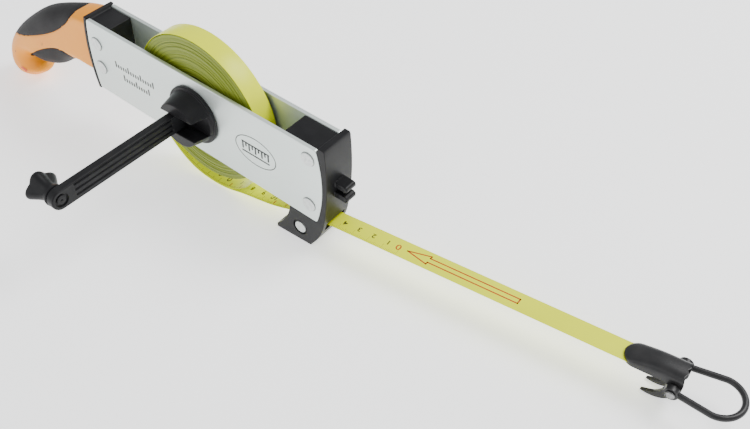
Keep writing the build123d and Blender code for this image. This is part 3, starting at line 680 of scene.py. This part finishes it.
def grip_pieces():
    """The two half shells and the two soft pads, with a groove where they meet."""
    outline = smooth_path(BACK_LINE, CURVE_STEPS)
    edges = [smooth_path(BACK_PAD_EDGE, CURVE_STEPS), smooth_path(FINGER_PAD_EDGE, CURVE_STEPS)]
    segments = [(index, (index + 1) % len(outline)) for index in range(len(outline))]
    points = outline + rim_points(outline)
    beside = groove_points(outline, edges)
    grooves = {len(points) + number for number, (_, on_edge) in enumerate(beside) if on_edge}
    points += [point for point, _ in beside] + field_points(outline, edges)
    flat = [Vector(point) for point in points]
    made, _, faces, origins, _, _ = delaunay_2d_cdt(flat, segments, [], 1, 1e-5)
    depth_of = []
    for number, point in enumerate(made):
        place = (point.x, point.y)
        half = pillow(nearest_on(outline, place), point.x)
        if grooves.intersection(origins[number]):
            half -= GROOVE_DEPTH * MM * min(1.0, half / (4 * MM))
        depth_of.append(half)
    groups = grip_regions(made, faces, edges)
    near = [(point.x * MM, -depth_of[number], point.y * MM) for number, point in enumerate(made)]
    far = [(x, -y, z) for x, y, z in near]
    whole = near + far
    count = len(made)
    sets = {
        "handle_half_right": (numbered_from(groups["shell"], 0), ORANGE, "orange_plastic"),
        "handle_half_left": (numbered_from(groups["shell"], count), ORANGE, "orange_plastic"),
    }
    for pad in ("back_grip_pad", "finger_grip_pad"):
        both = numbered_from(groups[pad], 0) + numbered_from(groups[pad], count)
        sets[pad] = (both, RUBBER, "soft_grip")
    for node, (chosen, material, slot) in sets.items():
        piece = from_faces(node + "_round", whole, chosen, PLATE, 60)
        bm = bmesh.new()
        bm.from_mesh(piece.data)
        loose = [vertex for vertex in bm.verts if not vertex.link_faces]
        bmesh.ops.delete(bm, geom=loose, context="VERTS")
        bmesh.ops.remove_doubles(bm, verts=bm.verts, dist=GRIP_MERGE)
        bm.to_mesh(piece.data)
        bm.free()
        settle(piece, "frame", material, (node,))


GRIP_MARKS = [((-152.1, -21.8), 3.0, 68), ((-191.0, -46.5), 2.6, 60)]
GRIP_MARK_WIDTH = 0.5
GRIP_MARK_PROUD = 0.02
CORD_SLOT = (-187.6, -60.2)
CORD_SLOT_SIZE = (8.4, 3.0)
CORD_SLOT_LEAN = -12
CORD_SLOT_PROUD = 0.03
INK_DEPTH = 0.04
BAR_END_STEPS = 6


def near_face(place, proud):
    """Where the grip's near face lies across the plates, a little in front of its surface."""
    return -pillow(nearest_on(smooth_path(BACK_LINE, 4), place), place[0]) - proud * MM


def grip_marks():
    """Two faint moulding marks on the near side, and the cord slot in the toe as a flat mark of darker
    red painted shade.
    """
    for number, (place, length, lean) in enumerate(GRIP_MARKS):
        mark_bar("grip_mark_%d" % number, place, length, GRIP_MARK_WIDTH, lean,
                 near_face(place, GRIP_MARK_PROUD), SEAM_INK, "orange_plastic")
    # cord slot drawn as painted shade of its recess
    mark_bar("cord_slot_painted_shade", CORD_SLOT, *CORD_SLOT_SIZE, CORD_SLOT_LEAN,
             near_face(CORD_SLOT, CORD_SLOT_PROUD), SLOT_PAINTED_SHADE, "orange_plastic")


def mark_bar(name, centre, length, width, lean, y, material, slot):
    """A thin rounded bar on a side face: printed marks, and the cord slot's painted shade."""
    corners = []
    for end in (1, -1):
        for step in range(BAR_END_STEPS + 1):
            angle = radians(90 * end - 180 * step / BAR_END_STEPS)
            x = end * (length - width) / 2 + cos(angle) * width / 2
            corners.append((x, sin(angle) * width / 2))
    turn = radians(lean)
    points = []
    for layer in (0.0, -INK_DEPTH):
        for x, z in corners:
            px = centre[0] + x * cos(turn) - z * sin(turn)
            pz = centre[1] + x * sin(turn) + z * cos(turn)
            points.append((px * MM, y + layer * MM, pz * MM))
    piece = from_faces(name, points, prism_faces(len(corners)), PLATE, 30)
    settle(piece, "frame", material)


# ---------------------------------------------------------------- plate print and painted rivet shade

PLATE_RIVETS = [(-86.2, 10.1), (-86.0, -8.0), (90.4, 17.3), (90.4, -18.1)]
BADGE = (49.6, -2.1)
BADGE_HALF = (15.8, 10.2)
BADGE_LINE = 0.6
RULER_HALF = 3.6
RULER_LENGTH = 22.0
RULER_LINE = 1.1
RULER_TICKS = 9
RULER_TICK_STEP = 2.5
RULER_TICK_START = -10.0
RULER_TICK_LENGTHS = (5.6, 3.2)
RULER_TICK_LINE = 1.2
PLATE_SCALES = [(-70.0, 2.3, 16), (-64.0, -5.8, 11)]
SCALE_STEP = 2.25
SCALE_HALF = 2.5
SCALE_LENGTHS = (5.0, 3.0)
SCALE_LINE = 1.15
RIVET_SHADE_R = 4.65
RIVET_SHADE_LINE = 0.35
RING_STEPS = 72
PLATE_PRINT_PROUD = 0.01


def ring_print(name, centre, half_size, width, y, material):
    """An oval line on the near plate, used for print and for painted shade rings round the rivet heads.
    """
    points = []
    for step in range(RING_STEPS + 1):
        angle = radians(360 * step / RING_STEPS)
        for grow in (-width / 2, width / 2):
            for layer in (0.0, -INK_DEPTH):
                x = centre[0] + (half_size[0] + grow) * cos(angle)
                z = centre[1] + (half_size[1] + grow) * sin(angle)
                points.append((x * MM, y + layer * MM, z * MM))
    faces = []
    for step in range(RING_STEPS):
        a = step * 4
        for one, two in ((0, 1), (1, 3), (3, 2), (2, 0)):
            faces.append((a + one, a + two, a + two + 4, a + one + 4))
    faces.append((0, 1, 3, 2))
    end = RING_STEPS * 4
    faces.append((end, end + 2, end + 3, end + 1))
    piece = from_faces(name, points, faces, PLATE, 30)
    settle(piece, "frame", material)


def plate_print():
    """Painted shade rings round the rivet heads, and neutral marks where the near plate carries print:
    an oval sign and two short scales.
    """
    y = PLATE_FACE_Y - PLATE_PRINT_PROUD * MM
    shade_size = (RIVET_SHADE_R, RIVET_SHADE_R)
    for number, place in enumerate(PLATE_RIVETS):
        # painted shade ring round each rivet head, not print
        ring_print("rivet_shade_%d" % number, place, shade_size, RIVET_SHADE_LINE, y, PAINTED_RIVET_SHADE)
    ring_print("badge_oval", BADGE, BADGE_HALF, BADGE_LINE, y, MARK_INK)
    for number, lift in enumerate((-RULER_HALF, RULER_HALF)):
        place = (BADGE[0], BADGE[1] + lift)
        mark_bar("badge_edge_%d" % number, place, RULER_LENGTH, RULER_LINE, 0, y, MARK_INK,
                 "plates")
    for number in range(RULER_TICKS):
        tall = RULER_TICK_LENGTHS[number % 2]
        place = (BADGE[0] + RULER_TICK_START + number * RULER_TICK_STEP,
                 BADGE[1] + RULER_HALF - tall / 2)
        mark_bar("badge_tick_%d" % number, place, tall, RULER_TICK_LINE, 90, y, MARK_INK, "plates")
    for row, (x, z, marks) in enumerate(PLATE_SCALES):
        for number in range(marks):
            tall = SCALE_LENGTHS[0] if number % 5 == 0 else SCALE_LENGTHS[1]
            place = (x + number * SCALE_STEP, z - SCALE_HALF + tall / 2)
            mark_bar("scale_%d_%d" % (row, number), place, tall, SCALE_LINE, 90, y, MARK_INK,
                     "plates")


# ---------------------------------------------------------------- knob

KNOB_LENGTH = 15.5
KNOB_END_R = 10.2
KNOB_NECK_R = 5.4
ARM_HALF_X = 2.75
KNOB_GAP = 0.3
LOBES = 4
LOBE_TURN = radians(5)
FLUTE = 2.4
FLUTE_START = 3.0
FLUTE_REACH = 9.0
BORE_R = 4.0
KNOB_SIDES = 140


def knob_profile():
    """(radius, distance from the arm's side) of the knob, in millimetres."""
    return [(1.7, 0.0), (KNOB_NECK_R + 0.6, 0.0), (KNOB_NECK_R + 1.1, 0.3),
            (KNOB_NECK_R + 1.2, 0.8), (KNOB_NECK_R + 1.1, 1.4), (KNOB_NECK_R + 0.2, 1.9),
            (KNOB_NECK_R, 2.6), (KNOB_NECK_R + 0.3, 4.4), (6.6, 6.4), (7.7, 8.4), (8.8, 10.2),
            (9.6, 11.6), (KNOB_END_R - 0.1, 12.6), (KNOB_END_R, 13.2), (KNOB_END_R - 0.2, 13.9),
            (KNOB_END_R - 1.0, 14.8), (KNOB_END_R - 2.2, 15.3), (KNOB_END_R - 3.4, KNOB_LENGTH),
            (3.6, KNOB_LENGTH), (3.4, KNOB_LENGTH - 0.3), (3.4, KNOB_LENGTH - 3.6),
            (1.7, KNOB_LENGTH - 3.6)]


def lobed(radius, along, angle):
    """Radius of the knob at an angle: broad lobes that die out towards the neck."""
    grow = min(1.0, max(0.0, (along / MM - FLUTE_START) / FLUTE_REACH))
    outer = 1.0 if radius > BORE_R * MM else 0.0
    wave = (0.5 + 0.5 * cos(LOBES * (angle + LOBE_TURN))) ** 0.8
    return radius - outer * grow * FLUTE * MM * (1 - wave)


def knob():
    """The lobed knob, turned round its joint's axis, which points away from the arm."""
    axis = Vector(joints["knob_spin"]["axis"])
    centre = Vector(joints["knob_spin"]["pos_m"])
    turn = axis.to_track_quat("Z", "Y").to_matrix().to_4x4()
    place = Matrix.Translation(centre + axis * (ARM_HALF_X + KNOB_GAP) * MM) @ turn
    profile = [(radius * MM, along * MM) for radius, along in knob_profile()]
    piece = lathe("crank_knob_lobed", profile, KNOB_SIDES, place, lobed)
    settle(piece, "knob", BLACK, ("crank_knob",))


# ---------------------------------------------------------------- coil and loose tape

CORE_R = 24.0
COIL_R = 49.5
TURNS_SHOWN = 70
TURN_FILL = 0.86
TURN_SCATTER = 0.16
COIL_HALF = 6.5
COIL_SIDES = 160
COIL_SEED = 30
LOOSE_TURNS = [(-165, 50.0), (-147, 50.9), (-129, 52.2), (-115, 55.0), (-101, 57.0), (-86, 57.5),
               (-71, 57.7), (-57, 56.4), (-43, 53.8), (-22, 51.5), (0, 50.6), (45, 50.3),
               (90, 50.2), (135, 50.2), (180, 50.3), (205, 50.9), (231, 53.2), (245, 55.9),
               (259, 57.9), (274, 58.4), (286, 58.9)]
SLACK_RUN = [(29.9, -52.4), (43.0, -49.2), (55.0, -46.0), (66.5, -41.6)]
ROLLER_CENTRE = (82.3, -43.2)
ROLLER_R = 8.0
ROLLER_ANGLES = (112, 103, 94)
ROLLER_GAP = 0.2
TURN_STEP = 16
LEVEL_START_X = 14.0 * MM


def round_axis(radius, degrees_round):
    """(x, z) at a radius and an angle round an axis."""
    angle = radians(degrees_round)
    return (radius * cos(angle), radius * sin(angle))


def loose_path():
    """Centre line of the loose turns and the slack run, in millimetres."""
    points = []
    for (a0, r0), (a1, r1) in zip(LOOSE_TURNS, LOOSE_TURNS[1:]):
        steps = max(1, ceil((a1 - a0) / TURN_STEP))
        for step in range(steps):
            share = step / steps
            points.append(round_axis(r0 + (r1 - r0) * share, a0 + (a1 - a0) * share))
    points.append(round_axis(LOOSE_TURNS[-1][1], LOOSE_TURNS[-1][0]))
    points += SLACK_RUN
    for angle in ROLLER_ANGLES:
        x, z = round_axis(ROLLER_R + ROLLER_GAP, angle)
        points.append((ROLLER_CENTRE[0] + x, ROLLER_CENTRE[1] + z))
    level = PLATE.inverted() @ Vector((LEVEL_START_X, 0, MOUTH.z))
    finish = PLATE.inverted() @ MOUTH
    points += [(level.x / MM, level.z / MM), (finish.x / MM, finish.z / MM)]
    return smooth_path(points, 5)


def wound_coil():
    """The wound turns as one turned solid whose side edges step in and out a little."""
    random = Random(COIL_SEED)
    profile_near = []
    profile_far = []
    for turn in range(TURNS_SHOWN + 1):
        radius = CORE_R + (COIL_R - CORE_R) * turn / TURNS_SHOWN
        wave = 0.16 * sin(turn * 0.31) + 0.1 * sin(turn * 0.83 + 1)
        step = min(0.0, wave - 0.2 + random.uniform(-TURN_SCATTER, TURN_SCATTER))
        for side_radius in (radius, radius + TURN_FILL * (COIL_R - CORE_R) / TURNS_SHOWN):
            if side_radius <= COIL_R:
                profile_near.append((side_radius * MM, -(COIL_HALF + step) * MM))
                profile_far.append((side_radius * MM, (COIL_HALF + step) * MM))
    profile = profile_near + profile_far[::-1]
    points = []
    for radius, along in profile:
        for side in range(COIL_SIDES):
            angle = 2 * pi * side / COIL_SIDES
            points.append((radius * cos(angle), along, radius * sin(angle)))
    faces = ring_sides(len(profile), COIL_SIDES, closed=True)
    piece = from_faces("tape_coil_turns", points, faces, Matrix.Translation(AXLE), 35)
    settle(piece, "reel", COIL_SIDE, ("tape_coil",))


def loose_tape():
    """The loose outer turns and the slack run, as one strip."""
    path = [(x * MM, z * MM) for x, z in loose_path()]
    piece = ribbon("tape_lead_loose", path, TAPE_WIDTH / 2, TAPE_THICK, PLATE)
    settle(piece, "frame", TAPE, ("tape_lead",))


# ---------------------------------------------------------------- outer tape and its print

ZERO_U = 53.0
PRINT_LIFT = 0.02
ARROW = [(57.7, 0.1), (71.9, 3.4), (71.8, 1.8), (128.2, 1.8), (128.0, -1.6), (71.7, -1.5),
         (71.5, -3.1)]
ARROW_LINE = 0.8
BLADE_LENGTH = HOOD_U + 3.0 * MM
BLADE_PARTS = 4
PRINT_TOP = TAPE_THICK / 2 + PRINT_LIFT * MM
FIGURE_STEP = 10
FIGURE_COUNT = 6
FIGURE_SIZE = 4.6
FIGURE_SHIFT = 2.0
ZERO_SIZE = 5.8
ZERO_SHIFT = -1.2
FIGURE_BOLD = 0.05
FIGURE_WIDEN = 1.2
TICK_EDGE = -6.4
TICK_COUNT = 51
TICK_HALF = 0.05
TICK_LONG = 4.4
TICK_MIDDLE = 2.6
TICK_SHORT = 1.6


def shorten(piece):
    """Gives the piece a mesh of its own."""
    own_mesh(piece)


def outer_tape():
    """The straight blade from the mouth to just inside the hood."""
    path = [(BLADE_LENGTH * part / BLADE_PARTS, 0.0) for part in range(BLADE_PARTS + 1)]
    piece = ribbon("tape_run_blade", path, TAPE_WIDTH / 2, TAPE_THICK, RUN)
    settle(piece, "frame", TAPE, ("tape_run",))
    shorten(piece)


def strip(name, outline, material):
    """A flat printed shape on top of the outer tape, from (u, v) corners in millimetres."""
    points = [(u * MM, v * MM, PRINT_TOP) for u, v in outline]
    piece = from_faces(name, points, [tuple(range(len(points)))], RUN, 30)
    settle(piece, "frame", material)
    shorten(piece)


def stroke(points, width):
    """Corners of a line with width between two points."""
    (ax, ay), (bx, by) = points
    slope = atan2(by - ay, bx - ax)
    dx, dy = -sin(slope) * width / 2, cos(slope) * width / 2
    ex, ey = cos(slope) * width / 2, sin(slope) * width / 2
    return [(ax + dx - ex, ay + dy - ey), (ax - dx - ex, ay - dy - ey),
            (bx - dx + ex, by - dy + ey), (bx + dx + ex, by + dy + ey)]


def text_mesh(text, size, thin):
    """A flat mesh of a few characters, centred on the origin."""
    curve = bpy.data.curves.new("figures", "FONT")
    curve.body = text
    curve.size = size
    curve.align_x = "CENTER"
    curve.align_y = "CENTER"
    curve.offset = -thin
    holder = link("figures", curve)
    graph = bpy.context.evaluated_depsgraph_get()
    mesh = bpy.data.meshes.new_from_object(holder.evaluated_get(graph))
    bpy.data.objects.remove(holder)
    return mesh


def tape_figures():
    """Centimetre figures from the mouth out to zero, read from the tape's far side."""
    half_turn = Matrix.Rotation(pi, 4, "Z")
    for figure in range(FIGURE_COUNT):
        u = ZERO_U - FIGURE_STEP * figure + (FIGURE_SHIFT if figure else ZERO_SHIFT)
        size = FIGURE_SIZE if figure else ZERO_SIZE
        mesh = text_mesh(str(figure), size * MM, -FIGURE_BOLD * MM)
        place = RUN @ Matrix.Translation((u * MM, 0.0, PRINT_TOP)) @ half_turn
        mesh.transform(place @ Matrix.Scale(FIGURE_WIDEN, 4, (1, 0, 0)))
        piece = link("tape_figure_%d" % figure, mesh)
        settle(piece, "frame", RED_INK if figure == 0 else BLACK_INK)
        shorten(piece)


def tick_corners(tick, longest, half_width):
    """Corners (across the line, v) of one scale line, which starts at the tape's near edge."""
    reach = longest if tick % 10 == 0 else (TICK_MIDDLE if tick % 5 == 0 else TICK_SHORT)
    return [(-half_width, TICK_EDGE), (half_width, TICK_EDGE),
            (half_width, TICK_EDGE + reach), (-half_width, TICK_EDGE + reach)]


def tick_faces(count):
    """One four-cornered face for each scale line."""
    return [tuple(range(4 * tick, 4 * tick + 4)) for tick in range(count)]


def tape_ticks():
    """Fine scale lines at the near edge of the outer tape, as one piece."""
    points = []
    for tick in range(TICK_COUNT):
        u = ZERO_U - tick
        for du, v in tick_corners(tick, TICK_LONG, TICK_HALF):
            points.append(((u + du) * MM, v * MM, PRINT_TOP))
    faces = tick_faces(TICK_COUNT)
    piece = from_faces("tape_scale", points, faces, RUN, 30)
    settle(piece, "frame", GREY_INK)
    shorten(piece)


def tape_arrow():
    """Outlined arrow that points back to zero."""
    for number, start in enumerate(ARROW):
        finish = ARROW[(number + 1) % len(ARROW)]
        strip("tape_arrow_%d" % number, stroke((start, finish), ARROW_LINE), RED_INK)


OUTER_TEN = (13.1, -55.2)
INNER_TEN = 43.0
FIRST_TURN_SHARE = 4
LOOSE_TICK_HALF = 0.09
LOOSE_TICK_LONG = 4.2
LOOSE_BOLD = 0.08
INNER_TICKS = (8, 76)
OUTER_TICKS = (16, 110)
LOOSE_FIGURES = [(0.0, "10", 6.4, 0.4, BLACK_INK), (10.0, "9", 4.8, 0.4, BLACK_INK),
                 (20.0, "8", 4.8, 0.4, BLACK_INK), (-10.0, "1", 4.8, 0.4, BLACK_INK),
                 (-3.5, "1", 4.2, -3.6, RED_INK), (-14.0, "1", 4.2, -3.6, RED_INK)]


def lengths_along(path):
    """Distance from the path's start to each of its points."""
    lengths = [0.0]
    for (ax, az), (bx, bz) in zip(path, path[1:]):
        lengths.append(lengths[-1] + hypot(bx - ax, bz - az))
    return lengths


def frame_on(path, lengths, distance):
    """Placing on the loose tape's upper face, at a distance back from the mouth."""
    place = lengths[-1] - distance
    index = max(i for i, value in enumerate(lengths[:-1]) if value <= place)
    share = (place - lengths[index]) / (lengths[index + 1] - lengths[index])
    (ax, az), (bx, bz) = path[index], path[index + 1]
    spot = Matrix.Translation(((ax + (bx - ax) * share) * MM, 0, (az + (bz - az) * share) * MM))
    turn = Matrix.Rotation(-atan2(bz - az, bx - ax), 4, "Y")
    return PLATE @ spot @ turn @ Matrix.Translation((0, 0, PRINT_TOP))


def distance_of(path, lengths, spot):
    """Distance back from the mouth of the path's nearest point on the first loose turn."""
    first_turn = path[:len(path) // FIRST_TURN_SHARE]
    gaps = [hypot(x - spot[0], z - spot[1]) for x, z in first_turn]
    return lengths[-1] - lengths[gaps.index(min(gaps))]


def loose_print():
    """Figures and scale lines on the loose turns' inner face, which is turned up."""
    path = loose_path()
    lengths = lengths_along(path)
    half_turn = Matrix.Rotation(pi, 4, "Z")
    outer = distance_of(path, lengths, OUTER_TEN)
    points = []
    for start_at, ticks in ((0.0, INNER_TICKS), (outer - INNER_TEN, OUTER_TICKS)):
        for tick in range(*ticks):
            place = frame_on(path, lengths, start_at + tick)
            for du, v in tick_corners(tick, LOOSE_TICK_LONG, LOOSE_TICK_HALF):
                points.append(place @ Vector((du * MM, v * MM, 0)))
    piece = from_faces("loose_scale", points, tick_faces(len(points) // 4), None, 30)
    settle(piece, "frame", GREY_INK)
    spots = [(start_at, *figure) for start_at in (INNER_TEN, outer) for figure in LOOSE_FIGURES]
    for number, (start_at, ahead, text, size, side, ink) in enumerate(spots):
        mesh = text_mesh(text, size * MM, -LOOSE_BOLD * MM)
        place = frame_on(path, lengths, start_at + ahead)
        mesh.transform(place @ Matrix.Translation((0, side * MM, 0)) @ half_turn)
        piece = link("loose_figure_%d" % number, mesh)
        settle(piece, "frame", ink)


# ---------------------------------------------------------------- hook

HOOD_HALF = 7.2
HOOD_REAR = -2.0
HOOD_FRONT = 30.5
HOOD_BOTTOM = -1.2
HOOD_SECTIONS = 26
HOOD_WALL = 0.65
HOOD_ARCH_STEPS = 16
CREST_REAR = 1.6
CREST_RISE = 5.0
CREST_REACH = 22.0
SHOULDER_LOW = 0.4
SHOULDER_RISE = 0.9
ARCH_SQUARENESS = 0.72
ARCH_FULLNESS = 0.85
SECTION_CROWDING = 0.35
LIP_START = 27.0
LIP_REACH = 3.5
LIP_WAVE = 0.9
LIP_WAVE_TURN = 1.35
LIP_WAVE_SHARE = 0.6


def hood_crest(u):
    """Height of the hood's top along its middle."""
    share = min(1.0, max(0.0, (u - HOOD_REAR) / CREST_REACH))
    return CREST_REAR + CREST_RISE * sin(share * pi / 2)


def hood_half(u):
    """Half width of the hood: round at the rear."""
    back = HOOD_REAR + HOOD_HALF
    if u >= back:
        return HOOD_HALF
    reach = (back - u) / HOOD_HALF
    return HOOD_HALF * sqrt(max(0.0, 1 - reach * reach))


def hood_shell(u, grow):
    """Half section of the hood at u, from the near lower edge over the top to the far one."""
    half = hood_half(u) + grow
    crest = hood_crest(u) + grow
    shoulder = SHOULDER_LOW + SHOULDER_RISE * min(1.0, half / HOOD_HALF)
    points = [(-half, HOOD_BOTTOM)]
    for step in range(HOOD_ARCH_STEPS + 1):
        angle = pi - pi * step / HOOD_ARCH_STEPS
        across = half * (abs(cos(angle)) ** ARCH_SQUARENESS) * (1 if cos(angle) > 0 else -1)
        height = shoulder + (crest - shoulder) * sin(angle) ** ARCH_FULLNESS
        points.append((across, height))
    points.append((half, HOOD_BOTTOM))
    return points


def hood():
    """Pressed hood with a thin wall and a wavy front lip."""
    place = RUN @ Matrix.Translation((HOOD_U, 0, 0))
    points = []
    stations = []
    for section in range(HOOD_SECTIONS + 1):
        share = section / HOOD_SECTIONS
        stations.append(HOOD_REAR + 0.02 + (HOOD_FRONT - HOOD_REAR) * share * share ** SECTION_CROWDING)
    for u in stations:
        outer = hood_shell(u, 0.0)
        inner = hood_shell(u, -HOOD_WALL)[::-1]
        lip = max(0.0, (u - LIP_START) / LIP_REACH)
        for across, height in outer + inner:
            wave = LIP_WAVE * lip * cos(across * LIP_WAVE_TURN)
            points.append(((u - wave * LIP_WAVE_SHARE) * MM, across * MM, height * MM))
    ring_size = len(points) // len(stations)
    faces = ring_sides(len(stations), ring_size)
    half = ring_size // 2
    for section in (0, HOOD_SECTIONS):
        base = section * ring_size
        for corner in range(half - 1):
            faces.append((base + corner, base + corner + 1, base + ring_size - 2 - corner,
                          base + ring_size - 1 - corner))
    piece = from_faces("hook_hood_pressed", points, faces, place, 45)
    settle(piece, "tape_end", ENAMEL, ("hook_hood",))


EAR_R = 3.9
EAR_INNER = 5.6
AXLE_U = 27.0
AXLE_W = -3.0


def hood_ears():
    """Flat ears of the hood, on the axle."""
    place = RUN @ Matrix.Translation((HOOD_U, 0, 0))
    for number, side in enumerate((-1, 1)):
        outline = [(AXLE_U + EAR_R * cos(radians(a)), AXLE_W + EAR_R * sin(radians(a)))
                   for a in range(180, 361, 12)]
        outline += [(AXLE_U + EAR_R, 1.2), (AXLE_U - EAR_R - 2.5, 1.2), (AXLE_U - EAR_R - 1.0, -0.6)]
        low, high = EAR_INNER * side, (HOOD_HALF - 0.1) * side
        points = [(u * MM, low * MM, w * MM) for u, w in outline]
        points += [(u * MM, high * MM, w * MM) for u, w in outline]
        faces = prism_faces(len(outline))
        piece = from_faces("hood_ear_%d" % number, points, faces, place, 30)
        settle(piece, "tape_end", ENAMEL)


# ---------------------------------------------------------------- studio

FLOOR_HALF = 3.0
SKY_COLOUR = (0.96, 0.98, 1.0, 1)
SKY_STRENGTH = 0.75
LIGHT_TARGET = (-0.02, 0, 0.03)


def camera():
    """The scene's camera."""
    data = bpy.data.cameras.new("camera")
    data.lens = CAMERA_LENS
    data.sensor_width = SENSOR
    data.clip_start, data.clip_end = CLIP
    eye = bpy.data.objects.new("camera", data)
    back = CAMERA_RIGHT.cross(CAMERA_UP)
    turn = Matrix((CAMERA_RIGHT, CAMERA_UP, back)).transposed().to_4x4()
    eye.matrix_world = Matrix.Translation(CAMERA_PLACE) @ turn
    bpy.context.scene.collection.objects.link(eye)
    bpy.context.scene.camera = eye


def soft_light(name, place, size, power):
    """A large rectangular lamp that points at the object."""
    data = bpy.data.lights.new(name, "AREA")
    data.shape = "RECTANGLE"
    data.size = size[0]
    data.size_y = size[1]
    data.energy = power
    lamp = bpy.data.objects.new(name, data)
    lamp.location = place
    lamp.rotation_mode = "QUATERNION"
    lamp.rotation_quaternion = (Vector(LIGHT_TARGET) - Vector(place)).to_track_quat("-Z", "Y")
    bpy.context.scene.collection.objects.link(lamp)


def studio():
    """Pale floor, even sky light and two soft lamps."""
    span = FLOOR_HALF
    corners = [(-span, -span, 0), (span, -span, 0), (span, span, 0), (-span, span, 0)]
    ground = from_faces("floor", corners, [(0, 1, 2, 3)])
    ground.data.materials.append(FLOOR)
    world = bpy.data.worlds.new("studio")
    bpy.context.scene.world = world
    world.use_nodes = True
    sky = world.node_tree.nodes["Background"]
    sky.inputs["Color"].default_value = SKY_COLOUR
    sky.inputs["Strength"].default_value = SKY_STRENGTH
    soft_light("key", (0.55, 0.75, 1.15), (0.7, 0.7), 18)
    soft_light("fill", (-0.35, -1.1, 0.75), (1.2, 0.9), 5)


dress_cad_nodes()
soften_hard_parts()
plate_panel("side_plate_right", -1)
plate_panel("side_plate_left", 1)
grip_pieces()
grip_marks()
plate_print()
knob()
wound_coil()
loose_tape()
outer_tape()
tape_ticks()
tape_figures()
tape_arrow()
loose_print()
hood()
hood_ears()
camera()
studio()
